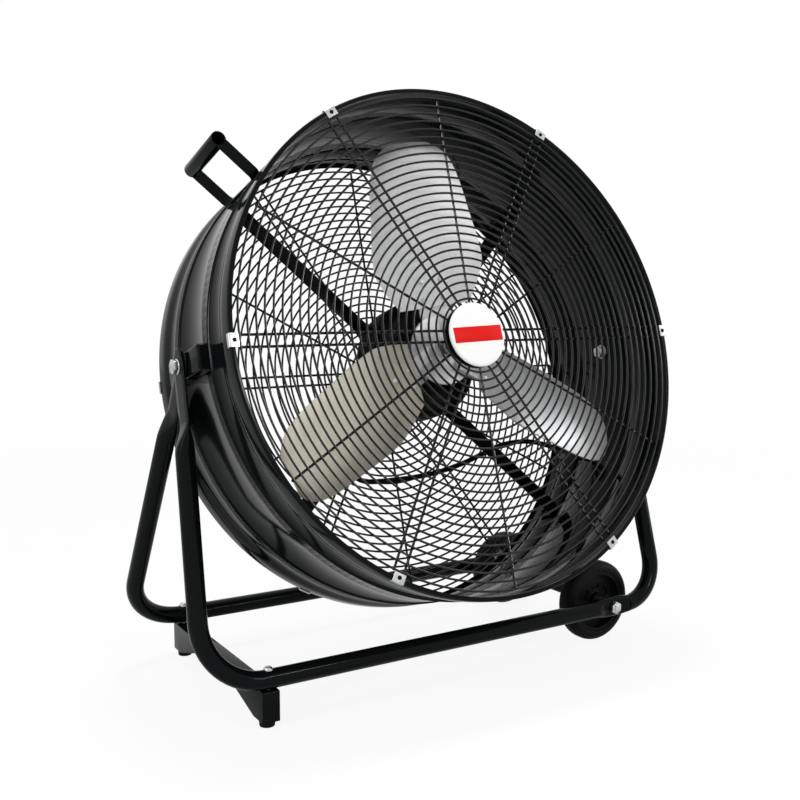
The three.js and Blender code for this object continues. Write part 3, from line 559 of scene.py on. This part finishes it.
def makeHandle():
    place = onDrum @ around(handle["angle"])
    half, reach, bend = handle["strap"], handle["reach"], handle["bend"]
    seat = drumShell["bandRadius"] + clearance + half[0]
    top = drumShell["bandRadius"] + handle["height"]
    corners = [
        {"at": Vector((0, top, reach)), "half": half},
        {"at": Vector((0, seat, reach)), "bend": bend, "half": half},
        {"at": Vector((0, seat, -reach)), "bend": bend, "half": half},
        {"at": Vector((0, top, -reach)), "half": half},
    ]
    shape = bmesh.new()
    sweep(shape, bentLine(corners, 8), xAxis, 24)
    for vert in shape.verts:  # the strap's ends follow the grip's tube
        if vert.co.y > top - 1:
            vert.co.y = top - math.sqrt(handle["radius"] ** 2 - vert.co.x ** 2)
    keep("handle_strap_bent", shape, place, "drum", blackPaint, ["handle_strap"])
    shape = bmesh.new()
    length = handle["length"]
    spun(shape, pipeProfile(handle["radius"], handle["bore"], -length / 2, length / 2), 56)
    keep("handle_grip_tube", shape, place @ moved(y=top), "drum", blackPaint, ["handle_grip"])


makeHandle()
print("handle made")

# side brackets and tilt bolts
pivot = {
    "bracket": (112, 33, 16.7),
    "wall": 2.5,
    "flatHalf": 1.6,
    "bolt": 5,
    "fold": 3.5,
    "head": 17,
    "headHeight": 8,
    "flange": 10,
    "flangeThick": 2.4,
    "tail": 14,
    "nutSeat": 2.4,
    "washer": (11, 5.2, 1.6),
}
bracketFace = drumShell["bandRadius"] + clearance + pivot["bracket"][2]
rearFlat = bracketFace + clearance + pivot["flatHalf"]
frontFlat = rearFlat + 2 * pivot["flatHalf"] + clearance
boltSeat = frontFlat + pivot["flatHalf"] + clearance


def makePivot(name, turn):
    length, height, depth = pivot["bracket"]
    place = onDrum @ turn @ rotated(90, "Y")  # local Z runs out along the tilt axis
    # the channel lies along the drum's depth, which is local X here
    shape = bmesh.new()
    shell = box(shape, (length, height, depth), moved(z=bracketFace - depth / 2))
    outer = [edge for edge in edgesOf(shell)
             if (edge.verts[0].co.z + edge.verts[1].co.z) / 2 > bracketFace - depth * 0.75]
    bevelled(shape, outer, pivot["fold"], 4)
    shape.normal_update()
    bottom = [face for face in shape.faces if face.normal.z < -0.9]
    bmesh.ops.inset_region(shape, faces=bottom, thickness=pivot["wall"])
    hollow = bmesh.ops.extrude_face_region(shape, geom=bottom)
    bmesh.ops.translate(shape, vec=(0, 0, depth - pivot["wall"]), verts=verts(hollow))
    bmesh.ops.delete(shape, geom=bottom, context="FACES")
    keep(f"side_bracket_pressed_{name}", shape, place, "drum", blackPaint,
         [f"side_bracket_{name}"])
    shape = bmesh.new()
    bolt, flange, thick, head = pivot["bolt"], pivot["flange"], pivot["flangeThick"], pivot["headHeight"]
    tip = drumShell["bandRadius"] - pivot["tail"]
    spun(shape, softened([(0, tip), (bolt, tip, 1), (bolt, boltSeat), (0, boltSeat)]), 32)
    spun(shape, softened([(0, boltSeat), (flange, boltSeat, 0.5), (flange, boltSeat + thick / 2, 0.5),
                          (flange - 2.5, boltSeat + thick), (0, boltSeat + thick)]), 40)
    hexagon(shape, pivot["head"], boltSeat + 1.5, boltSeat + head, 0.9)
    keep(f"tilt_bolt_flanged_{name}", shape, place, "drum", zinc, [f"tilt_bolt_{name}"])
    shape = bmesh.new()
    seat = drumShell["bandRadius"] - drumShell["wall"] - pivot["nutSeat"]
    hexagon(shape, pivot["head"], seat - head, seat, 0.9)
    outer, inner, thick = pivot["washer"]
    spun(shape, pipeProfile(outer, inner, seat, seat + thick, 0.3), 40)
    keep(f"tilt_nut_and_washer_{name}", shape, place, "drum", zinc, [f"tilt_nut_{name}"])


makePivot("right", Matrix())
makePivot("left", rotated(180, "Y"))
print("pivots made")

# motor, struts and lead
motor = {
    "radius": 86,
    "groove": 3.5,
    "front": 10,
    "rear": -46,
    "cover": 12,
    "coverStep": 2,
    "shaft": 8,
    "boreDepth": 20,
    "ribs": 9,
    "ribShare": 0.45,
    "screwRing": 58,
    "slotRing": (50, 64),
    "slotStep": 30,
    "slotGap": 12,
    "slotDepth": 3,
    "strut": (2, 11),
    "strutAngles": (-135, -45, 45, 135),
    "strutStart": 46,
    "strutBolts": (56, 72),
    "strutBend": 6,
    "strutGap": 1.6,
    "strutTab": 34,
    "tabScrews": (14, 27),
}


def makeMotor():
    radius, front, rear = motor["radius"], motor["front"], motor["rear"]
    bore, boreEnd = motor["shaft"] + clearance, front - motor["boreDepth"]
    groove = radius - motor["groove"]
    profile = [(0, rear + clearance), (radius - 3, rear + clearance, 1.5)]
    pitch = (front - rear - 14) / motor["ribs"]
    for i in range(motor["ribs"]):
        low = rear + 5 + i * pitch
        high = low + pitch * motor["ribShare"]
        profile += [(groove, low, 0.4), (radius, low + 0.5, 0.5), (radius, high, 0.5),
                    (groove, high + 0.5, 0.4)]
    profile += [(groove, front - 7, 2), (radius - 12, front, 5), (34, front, 1), (30, front + 3, 1),
                (22, front + 3, 0.5), (20, front + 6, 1), (bore, front + 6, 0.4), (bore, boreEnd),
                (0, boreEnd)]
    shape = bmesh.new()
    spun(shape, softened(profile), 96)
    for k in range(4):
        makeScrewHead(shape, around(45 + 90 * k) @ moved(0, motor["screwRing"], front - 0.2), 4.5, 3)
    keep("motor_casing", shape, onDrum, "drum", motorBlack, ["motor_body"])
    back, edge = rear - motor["cover"], radius - motor["coverStep"]
    shape = bmesh.new()
    spun(shape, softened([(0, rear), (edge, rear, 0.6), (edge, rear - 5, 2), (radius - 12, back, 5),
                          (62, back), (52, back), (42, back), (30, back), (18, back, 0.5),
                          (16, back + 2, 0.5), (0, back + 2)], steps=3), 96)
    slots = []
    for face in shape.faces:
        middle = face.calc_center_median()
        out = math.hypot(middle.x, middle.y)
        turn = math.degrees(math.atan2(middle.y, middle.x)) % motor["slotStep"]
        inRing = motor["slotRing"][0] < out < motor["slotRing"][1]
        if middle.z < back + 0.3 and inRing and turn > motor["slotGap"]:
            slots.append(face)
    bmesh.ops.inset_region(shape, faces=slots, thickness=0.8, depth=0)
    sunk = list({vert for face in slots for vert in face.verts})
    bmesh.ops.translate(shape, vec=(0, 0, motor["slotDepth"]), verts=sunk)
    keep("motor_cover_slotted", shape, onDrum, "drum", motorBlack, ["motor_rear_cover"])
    half = motor["strut"]
    middle = back - 2 * clearance - half[0]
    wall = drumShell["bandRadius"] - drumShell["wall"] - motor["strutGap"] - half[0]
    for i, angle in enumerate(motor["strutAngles"]):
        shape = bmesh.new()
        sweep(shape, bentLine([
            {"at": Vector((0, motor["strutStart"], middle)), "half": half},
            {"at": Vector((0, wall, middle)), "bend": motor["strutBend"], "half": half},
            {"at": Vector((0, wall, middle - motor["strutTab"])), "half": half},
        ], 6), xAxis, 24)
        for place in motor["strutBolts"]:
            seat = half[0] - middle
            hexagon(shape, 8, seat, seat + 4, 0.4, moved(y=place) @ rotated(180, "Y"))
        for drop in motor["tabScrews"]:
            makeScrewHead(shape, moved(0, wall - half[0], middle - drop) @ rotated(90, "X"))
        keep(f"motor_strut_bent_{i + 1}", shape, onDrum @ around(angle), "drum", blackPaint,
             [f"motor_strut_{i + 1}"])


makeMotor()

lead = {
    "radius": 4,
    "sides": 14,
    "steps": 6,
    # angle from the top, share of the band's radius, share of the way from the struts to the rear guard
    "route": ((199, 0.215, -0.005), (200, 0.226, 0.22), (204, 0.318, 0.53), (209, 0.459, 0.9),
              (201, 0.49, 1), (182, 0.467, 1), (159, 0.49, 1), (141, 0.549, 1), (130, 0.609, 0.98),
              (121, 0.692, 0.9), (117, 0.799, 0.6), (118, 0.908, 0.05)),
    # share of the band's radius, place along the drum's depth
    "outlet": ((0.9, -18), (0.93, 0), (0.991, 0)),
}
switchAngle = 122  # from the top


def makeLead():
    radius, band = lead["radius"], drumShell["bandRadius"]
    strutFace = motor["rear"] - motor["cover"] - 2 * clearance
    guardPlane = radius + 2 * clearance + guard["stayWire"] - stayPlace
    route = []
    for angle, share, depth in lead["route"]:
        place = strutFace + depth * (guardPlane - strutFace)
        route.append(around(angle) @ Vector((0, share * band, place)))
    for share, place in lead["outlet"]:
        route.append(around(switchAngle) @ Vector((0, share * band, place)))
    line = []
    ends = [route[0] * 2 - route[1]] + route + [route[-1] * 2 - route[-2]]
    for before, start, end, after in zip(ends, ends[1:], ends[2:], ends[3:]):
        for t in shares(lead["steps"])[:-1]:
            square = (2 * before - 5 * start + 4 * end - after) * t * t
            cube = (3 * start - before - 3 * end + after) * t ** 3
            line.append(0.5 * (2 * start + (end - before) * t + square + cube))
    line.append(route[-1])
    stations = []
    for i, at in enumerate(line):
        way = (line[min(i + 1, len(line) - 1)] - line[max(i - 1, 0)]).normalized()
        if stations:
            side = stations[-1]["way"].rotation_difference(way) @ stations[-1]["side"]
        else:
            side = zAxis.cross(way)
        stations.append({"at": at, "way": way, "side": side.normalized(), "half": (radius, radius)})
    shape = bmesh.new()
    sweep(shape, stations, None, lead["sides"])
    keep("motor_lead_sleeved", shape, onDrum, "drum", blackRubber, ["motor_lead"])


makeLead()
print("motor made")

# fan wheel
fanWheel = {
    "tip": 305,
    "count": 3,
    "plane": 48,
    "sheet": 2.4,
    "turn": -1,
    "hub": 50,
    "plate": 5,
    "collar": 17,
    "collarBack": 19,
    "collarFront": 7,
    "nut": (24, 8),
    "shaftEnd": 19,
    "armReach": 112,
    "armWidth": 46,
    "pitch": 30,
    # radius, chord, pitch, camber
    "stations": ((62, 100, 30, 0), (112, 149.5, 30, 0), (151, 158.5, 28, 0.04), (201, 145, 25.4, 0.06),
                 (251, 131, 22.8, 0.07), (282, 113, 21.2, 0.07), (297, 88.5, 20.4, 0.07),
                 (305, 58, 20, 0.06)),
    "rootEase": 38,
    "outPower": 1.25,
    "across": 28,
    "out": 40,
}
bladeAngles = [fanWheel["turn"] + 360 * k / fanWheel["count"] for k in range(fanWheel["count"])]


def bladeStation(radius):  # a smooth curve through the stations
    table = fanWheel["stations"]
    last = len(table) - 1
    for i in range(last):
        if radius <= table[i + 1][0] or i == last - 1:
            before, low, high, after = table[max(i - 1, 0)], table[i], table[i + 1], table[min(i + 2, last)]
            room = high[0] - low[0]
            t = min(1.0, max(0.0, (radius - low[0]) / room))
            row = []
            for a, b, c, d in zip(before, low, high, after):
                into = (c - a) / (high[0] - before[0]) * room
                away = (d - b) / (after[0] - low[0]) * room
                row.append(b * (2 * t ** 3 - 3 * t * t + 1) + into * (t ** 3 - 2 * t * t + t)
                           + c * (3 * t * t - 2 * t ** 3) + away * (t ** 3 - t * t))
            return row
    return table[-1]


def makeBlade(number, angle, finish):
    shape = bmesh.new()
    bmesh.ops.create_grid(shape, x_segments=fanWheel["across"], y_segments=fanWheel["out"], size=1)
    start = fanWheel["stations"][0][0]
    lift = fanWheel["plate"] / 2 + 2 * clearance + fanWheel["sheet"] / 2
    for vert in shape.verts:
        share = vert.co.x / 2
        out = (vert.co.y + 1) / 2
        radius = start + (fanWheel["tip"] - start) * (1 - (1 - out) ** fanWheel["outPower"])
        _, chord, pitch, camber = bladeStation(radius)
        tilt = radians(pitch)
        along = share * chord
        rise = lift + camber * chord * (1 - 4 * share * share)
        across = along * math.cos(tilt) - rise * math.sin(tilt)
        forward = fanWheel["plane"] + along * math.sin(tilt) + rise * math.cos(tilt)
        turn = across / radius
        # the root is flat, and the rest is wrapped to its radius
        wrapped = min(1.0, max(0.0, (radius - fanWheel["armReach"]) / fanWheel["rootEase"]))
        vert.co = (across + (radius * math.sin(turn) - across) * wrapped,
                   radius + (radius * math.cos(turn) - radius) * wrapped, forward)
    bmesh.ops.recalc_face_normals(shape, faces=shape.faces)
    half = fanWheel["sheet"] / 2
    for vert in shape.verts:
        vert.normal_update()
    shift = {vert: vert.normal * half for vert in shape.verts}
    for vert, offset in shift.items():
        vert.co += offset
    bmesh.ops.solidify(shape, geom=shape.faces[:], thickness=fanWheel["sheet"])
    keep(f"blade_pressed_{number}", shape, onDrum @ around(angle), "fan_wheel", finish,
         [f"blade_{number}"], sharp=50)


def makeFanHub():
    shape = bmesh.new()
    plane, hub, half, reach = fanWheel["plane"], fanWheel["hub"], fanWheel["plate"] / 2, fanWheel["armReach"]
    collar, bore = fanWheel["collar"], motor["shaft"] + clearance
    back, front = plane - fanWheel["collarBack"], plane + fanWheel["collarFront"]
    spun(shape, softened([(bore, back, 0.5), (collar, back, 1), (collar, plane - half, 1),
                          (hub, plane - half, 0.8), (hub, plane + half, 0.8), (collar, plane + half, 1),
                          (collar, front, 1), (bore, front, 0.5)], True, 3), 64)
    for angle in bladeAngles:
        place = around(angle) @ moved(0, (reach + hub / 2) / 2, plane) @ rotated(-fanWheel["pitch"], "Y")
        block(shape, (fanWheel["armWidth"], reach - hub / 2, fanWheel["plate"]), place, 0.9, 2)
        for x in (-14, 14):  # rivets
            for y in (4, 32):
                spun(shape, softened([(0, 4.8), (3, 4.2, 1), (4.4, 2.2, 0.5), (4.4, 1.9), (0, 1.9)]), 18,
                     place @ moved(x, y, half))
    keep("fan_hub_spider", shape, onDrum, "fan_wheel", satinBlade, ["fan_hub"])
    shape = bmesh.new()
    across, height = fanWheel["nut"]
    seat = front + clearance
    hexagon(shape, across, seat, seat + height, 1)
    keep("hub_nut_zinc", shape, onDrum, "fan_wheel", zinc, ["hub_nut"])
    shape = bmesh.new()
    shaft, start = motor["shaft"], motor["front"] - motor["boreDepth"] + clearance
    end = plane + fanWheel["shaftEnd"]
    spun(shape, softened([(0, start), (shaft, start), (shaft, end, 1.5), (0, end)]), 32)
    keep("motor_shaft_ground", shape, onDrum, "fan_wheel", zinc, ["motor_shaft"])


for number, angle in enumerate(bladeAngles, 1):
    # blade 3 takes the painted-shade copy of the blade aluminium; the other blades take the plain finish
    makeBlade(number, angle, paintedShadeBlade if number == 3 else satinBlade)
makeFanHub()
print("fan wheel made")

# switch box, knob and gland
switch = {
    "size": (62, 76, 34),
    "corner": 8,
    "edge": 2.5,
    "screws": (23, 30),
    "knob": 15,
    "knobHeight": 15,
    "pointer": (3, 13.5, 1.6),
    "gland": (9, 6.4, 4),
    "glandLength": 16,
}


def makeSwitch():
    across, along, deep = switch["size"]
    place = onDrum @ around(switchAngle) @ rotated(-90, "X")  # local Z runs out of the band
    band = drumShell["bandRadius"]
    shape = bmesh.new()
    made = box(shape, (across, along, deep - 2 * clearance), moved(z=band + deep / 2 + clearance))
    upright = [edge for edge in edgesOf(made) if abs(edge.verts[0].co.z - edge.verts[1].co.z) > 1]
    bevelled(shape, upright, switch["corner"], 6)
    lid = [edge for edge in shape.edges if min(vert.co.z for vert in edge.verts) > band + deep - 2]
    bevelled(shape, lid, switch["edge"], 4)
    shape.normal_update()
    for face in shape.faces:  # the underside follows the band
        if face.normal.z < -0.9:
            for vert in face.verts:
                vert.co.z = math.sqrt((band + clearance) ** 2 - vert.co.x ** 2)
    screwX, screwY = switch["screws"]
    for x in (-screwX, screwX):
        for y in (-screwY, screwY):
            makeScrewHead(shape, moved(x, y, band + deep - clearance), 3.2, 1.4)
    keep("switch_box_moulded", shape, place, "drum", blackPlastic, ["switch_box"])
    shape = bmesh.new()
    radius, base = switch["knob"], band + deep + clearance
    top = base + switch["knobHeight"]
    spun(shape, softened([(0, base), (radius, base, 0.4), (radius, base + 2.6, 0.8),
                          (radius - 2, base + 3.4, 0.6), (radius - 3, top - 1, 1.5), (0, top - 0.3)]), 60)
    block(shape, switch["pointer"], moved(0, switch["pointer"][1] / 2, top + 0.2), 0.4, 2)
    keep("speed_knob_moulded", shape, place, "knob", blackPlastic, ["speed_knob"])
    shape = bmesh.new()
    radius, tip, bore = switch["gland"]
    length = switch["glandLength"]
    spun(shape, softened([(bore, 0), (radius, 0, 0.5), (radius, 6, 0.8), (radius - 2, 6, 0.3),
                          (tip, length, 1), (bore, length)], True), 40)
    place = place @ moved(0, -(along / 2 + clearance), band + deep / 2) @ rotated(90, "X")
    keep("cable_gland_moulded", shape, place, "drum", blackPlastic, ["cable_gland"])


makeSwitch()
print("switch made")

# frame tubes
stand = {
    "tube": 12.4,
    "railHeight": 61.7,
    "pivotHeight": 450,
    "frontRail": -96.6,
    "rearRail": 214.8,
    "spread": 379.9,
    "leftBend": 80,
    "rightBend": 64,
    "flat": (1.6, 17.5),
    "flatBelow": 70,
    "taper": 40,
    "flatAbove": 23,
    "axle": 282.3,
    "axleFlat": (15, 6.5),
    "axleFlatHalf": 13,
    "axleEase": 21,
    "easeEnd": 0.86,
    "tipAngles": (84, 70, 56, 42, 28, 14, 0),
    "foot": -294,
}


def makeFrameTube(name, railPlace, flatPlace):
    tube, flat = (stand["tube"], stand["tube"]), stand["flat"]
    up = Vector((0, -railPlace, stand["pivotHeight"] - stand["railHeight"]))
    legLength = up.length
    up.normalize()
    base = Vector((0, railPlace, stand["railHeight"]))
    legStart = legLength - stand["flatBelow"] - stand["taper"]

    def onLeg(side, height, x):
        return base + xAxis * side * x + up * height

    def leg(side, bend):
        tip = []
        for angle in stand["tipAngles"]:
            t = radians(angle)
            tip.append({"at": onLeg(side, legLength + math.sin(t) * stand["flatAbove"], flatPlace),
                        "half": (flat[0], flat[1] * math.cos(t))})
        flatEnd = {"at": onLeg(side, legLength - stand["flatBelow"], flatPlace), "half": flat}
        roundX = stand["spread"] + (flatPlace - stand["spread"]) * legStart / legLength
        roundEnd = {"at": onLeg(side, legStart, roundX), "half": tube}
        return tip + [flatEnd] + eased(flatEnd, roundEnd, 8) + [
            roundEnd, {"at": onLeg(side, 0, stand["spread"]), "bend": bend, "half": tube}]

    roll = math.atan2(-railPlace, stand["pivotHeight"] - stand["railHeight"])

    def rail(x, half):
        return {"at": base + xAxis * x, "half": half, "roll": roll}

    half = stand["axleFlatHalf"]
    outside = rail(stand["axle"] - half - stand["axleEase"], tube)
    pressed = rail(stand["axle"] - half, stand["axleFlat"])
    rest = rail(stand["axle"] + half, stand["axleFlat"])
    right = list(reversed(leg(1, stand["rightBend"])))
    bendStart = rail(stand["spread"] - stand["rightBend"] * stand["easeEnd"], tube)
    axleZone = [outside] + eased(outside, pressed, 6) + [pressed, rest] + eased(rest, bendStart, 4)
    corners = leg(-1, stand["leftBend"]) + axleZone + right
    shape = bmesh.new()
    sweep(shape, bentLine(corners, 16), xAxis.cross(up), 36)
    keep(f"{name}_frame_tube_bent", shape, onStand, "stand", blackPaint,
         [f"{name}_frame_tube"], sharp=60)


makeFrameTube("front", stand["frontRail"], frontFlat)
makeFrameTube("rear", stand["rearRail"], rearFlat)

# foot channel, feet and screws
channel = {
    "width": 24,
    "depth": 40,
    "middle": 17,
    "taper": 110,
    "wall": 1.6,
    "fold": 2.4,
    "overhang": 10,
    "seat": 30,
    "foot": 10.5,
    "screw": 3,
    "head": (6.2, 4),
    "tail": 8,
}


def makeFootChannel():
    top = stand["railHeight"] - stand["tube"] - clearance
    start, end = stand["frontRail"] - channel["overhang"], stand["rearRail"] + channel["overhang"]
    low, middle = top - channel["depth"], top - channel["middle"]
    half = channel["width"] / 2
    outline = [(start, low), (start + channel["seat"], low), (start + channel["taper"], middle),
               (end - channel["taper"], middle), (end - channel["seat"], low), (end, low), (end, top),
               (start, top)]
    shape = bmesh.new()
    side = shape.faces.new([shape.verts.new((-half, y, z)) for y, z in outline])
    grown = bmesh.ops.extrude_face_region(shape, geom=[side])
    bmesh.ops.translate(shape, vec=(channel["width"], 0, 0), verts=verts(grown))
    bmesh.ops.recalc_face_normals(shape, faces=shape.faces)
    shape.normal_update()
    under = [face for face in shape.faces if face.normal.z < -0.3]
    bmesh.ops.delete(shape, geom=under, context="FACES")
    folds = [edge for edge in shape.edges if len(edge.link_faces) == 2]
    bevelled(shape, folds, channel["fold"], 4)
    bmesh.ops.recalc_face_normals(shape, faces=shape.faces)
    bmesh.ops.solidify(shape, geom=shape.faces[:], thickness=channel["wall"])
    for y in (start + channel["seat"] / 2 + 0.8, end - channel["seat"] / 2 - 0.8):
        block(shape, (channel["width"] - 3.6, channel["seat"] - 3, channel["wall"]),
              moved(0, y, low + channel["wall"] / 2), 0.3, 2)
    keep("foot_channel_folded", shape, onStand @ moved(x=stand["foot"]), "stand", blackPaint,
         ["foot_channel"])
    ends = (("front", stand["frontRail"], start + channel["seat"] / 2),
            ("rear", stand["rearRail"], end - channel["seat"] / 2))
    for name, screwY, footY in ends:
        shape = bmesh.new()
        radius, height = channel["foot"], low - clearance
        spun(shape, softened([(0, 0), (radius - 0.6, 0, 1.6), (radius, height, 0.8), (0, height)]), 48)
        keep(f"rubber_foot_moulded_{name}", shape, onStand @ moved(stand["foot"], footY, 0), "stand",
             blackRubber, [f"rubber_foot_{name}"])
        shape = bmesh.new()
        seat = stand["railHeight"] + stand["tube"] + clearance
        makeScrewHead(shape, moved(z=seat - 0.5), *channel["head"])
        screw, tip = channel["screw"], top - channel["tail"]
        spun(shape, [(0, tip), (screw, tip), (screw, seat), (0, seat)], 20)
        keep(f"channel_screw_panhead_{name}", shape, onStand @ moved(stand["foot"], screwY, 0), "stand",
             zinc, [f"channel_screw_{name}"])


makeFootChannel()
print("stand made")

# axle and wheels
wheel = {
    "radius": 62.5,
    "width": 31,
    "tyreDepth": 15,
    "gap": 19,
    "bolt": 5,
    "tail": 1.5,
    "nut": 7,
    "sleeveWall": 3,
    "pocketRing": (19, 28),
    "pocketTurn": (8, 48),
    "pocketStep": 60,
    "pocketDepth": 2.2,
}
axleFront = stand["frontRail"] - stand["axleFlat"][1]
axleRear = stand["rearRail"] + stand["axleFlat"][1]
# local Z runs along the axle, to the rear
onAxle = onStand @ moved(stand["axle"], 0, wheel["radius"]) @ rotated(-90, "X")


def makeWheel(name, middle):
    half, radius = wheel["width"] / 2, wheel["radius"]
    rim = radius - wheel["tyreDepth"]
    shape = bmesh.new()
    side = softened([(rim, 0), (rim, half - 0.6), (rim + 1.2, half, 0.8), (radius - 8, half, 3),
                     (radius, half - 7, 4.5), (radius, 0)], steps=6)
    spun(shape, mirrored(side), 96, moved(z=middle))
    keep(f"tyre_moulded_{name}", shape, onAxle, f"wheel_{name}", blackRubber,
         [f"tyre_{name}"])
    rim -= clearance
    bore = wheel["bolt"] + clearance
    side = softened([(bore, 0), (bore, half, 0.4), (14, half, 1), (14, half - 9, 1.5), (20, half - 9.6),
                     (27, half - 10.2), (34, half - 11), (rim - 5, half - 12, 2), (rim - 5, half - 1.5, 0.8),
                     (rim, half - 1.5, 0.5), (rim, 0)], steps=3)
    shape = bmesh.new()
    spun(shape, mirrored(side), 90)
    bmesh.ops.remove_doubles(shape, verts=shape.verts, dist=0.01)
    (inner, outer), (first, last) = wheel["pocketRing"], wheel["pocketTurn"]
    pockets = []
    for face in shape.faces:
        centre = face.calc_center_median()
        turn = math.degrees(math.atan2(centre.y, centre.x)) % wheel["pocketStep"]
        if inner < math.hypot(centre.x, centre.y) < outer and abs(centre.z) > 3 and first < turn < last:
            pockets.append(face)
    bmesh.ops.inset_region(shape, faces=pockets, thickness=0.9, depth=0)
    for vert in {vert for face in pockets for vert in face.verts}:
        vert.co.z -= math.copysign(wheel["pocketDepth"], vert.co.z)
    bmesh.ops.translate(shape, vec=(0, 0, middle), verts=shape.verts)
    keep(f"wheel_hub_moulded_{name}", shape, onAxle, f"wheel_{name}", blackPlastic,
         [f"wheel_hub_{name}"])


def makeAxle():
    bolt, nut, gap, width = wheel["bolt"], wheel["nut"], wheel["gap"], wheel["width"]
    inner = bolt + clearance
    outer = inner + wheel["sleeveWall"]
    reach = nut + clearance + wheel["tail"]
    start, end = axleFront - reach, axleRear + reach
    shape = bmesh.new()
    spun(shape, softened([(0, start), (bolt, start, 1), (bolt, end, 1), (0, end)]), 32)
    keep("wheel_axle_turned", shape, onAxle, "stand", zinc, ["wheel_axle"])
    frontFace = stand["frontRail"] + stand["axleFlat"][1] + gap
    rearFace = stand["rearRail"] - stand["axleFlat"][1] - gap
    for name, out, rail, face in (("front", -1, axleFront, frontFace), ("rear", 1, axleRear, rearFace)):
        shape = bmesh.new()
        first, last = sorted((rail + out * clearance, rail + out * (clearance + nut)))
        hexagon(shape, pivot["head"], first, last, 0.9)
        keep(f"axle_nut_zinc_{name}", shape, onAxle, "stand", zinc, [f"axle_nut_{name}"])
        shape = bmesh.new()
        first, last = sorted((face + out * clearance, face + out * (gap - clearance)))
        spun(shape, pipeProfile(outer, inner, first, last), 40)
        keep(f"axle_spacer_turned_{name}", shape, onAxle, "stand", zinc, [f"axle_spacer_{name}"])
        makeWheel(name, face - out * width / 2)
    shape = bmesh.new()
    spun(shape, pipeProfile(outer, inner, frontFace + width + clearance, rearFace - width - clearance), 40)
    keep("axle_sleeve_painted", shape, onAxle, "stand", blackPaint, ["axle_sleeve"])


makeAxle()
print("wheels made")

# floor, world and lights
setting = {
    "lamps": (
        # name, place, aims at, size, watts
        ("left_panel", (-2.6, -0.6, 1.7), (-0.2, 0.0, 0.45), (0.14, 1.5), 26),
        ("front_panel", (0.9, -2.8, 1.8), (0.1, 0.0, 0.45), (1.0, 0.16), 20),
        ("top_panel", (0.1, 0.3, 2.8), (0.0, 0.0, 0.4), (0.6, 0.6), 26),
        ("right_strip", (2.4, -0.9, 1.0), (0.2, 0.0, 0.4), (0.09, 1.5), 14),
    ),
    "world": 0.5,
    "floorWhite": (0.9, 1.0),   # the glow's share near the fan and far from it
    "floorFade": (1.0, 3.6),    # metres from the fan
    "floorGloss": 0.35,         # the glow's share in reflections
    "floorHalf": 14,
    "floorDrop": 0.0005,
}


def makeFloor():
    shape = bmesh.new()
    bmesh.ops.create_grid(shape, x_segments=1, y_segments=1, size=setting["floorHalf"])
    mesh = bpy.data.meshes.new("floor")
    shape.to_mesh(mesh)
    shape.free()
    floor = bpy.data.objects.new("floor", mesh)
    floor.location.z = -setting["floorDrop"]
    bpy.context.scene.collection.objects.link(floor)
    material = bpy.data.materials.new("floor_white")
    material.use_nodes = True
    tree = material.node_tree
    shade = Shade(tree)
    tree.nodes.remove(tree.nodes["Principled BSDF"])
    soft = shade.node("BsdfDiffuse", {"Color": (0.95, 0.95, 0.95, 1)})
    glow = shade.node("Emission", {"Color": (1, 1, 1, 1), "Strength": 1.0})
    away = shade.node("VectorMath", {0: shade.node("TexCoord", out=3)}, out=1, operation="LENGTH")
    (first, last), (near, far) = setting["floorFade"], setting["floorWhite"]
    white = shade.node("MapRange", {"Value": away, 1: first, 2: last, 3: near, 4: far})
    seen = shade.node("LightPath", out=0) * white + shade.node("LightPath", out=3) * setting["floorGloss"]
    mixed = shade.node("MixShader", {0: seen, 1: soft, 2: glow})
    tree.links.new(mixed.socket, tree.nodes["Material Output"].inputs["Surface"])
    mesh.materials.append(material)


def makeWorld():
    world = bpy.data.worlds.new("studio")
    world.use_nodes = True
    tree = world.node_tree
    shade = Shade(tree)
    light = shade.node("LightPath", out=0)
    seen = light.math("MAXIMUM", light, shade.node("LightPath", out=3))
    seen = light.math("MAXIMUM", seen, shade.node("LightPath", out=6))
    strength = setting["world"] + seen * (1.0 - setting["world"])
    background = tree.nodes["Background"]
    background.inputs["Color"].default_value = (1, 1, 1, 1)
    tree.links.new(strength.socket, background.inputs["Strength"])
    bpy.context.scene.world = world


def makeLamps():
    for name, place, target, size, watts in setting["lamps"]:
        data = bpy.data.lights.new(name, "AREA")
        data.shape = "RECTANGLE"
        data.size, data.size_y = size
        data.energy = watts
        lamp = bpy.data.objects.new(name, data)
        aim = (Vector(target) - Vector(place)).to_track_quat("-Z", "Y").to_matrix().to_4x4()
        lamp.matrix_world = Matrix.Translation(place) @ aim
        bpy.context.scene.collection.objects.link(lamp)


makeFloor()
makeWorld()
makeLamps()
bpy.context.scene.view_settings.view_transform = "Standard"
print("light set")
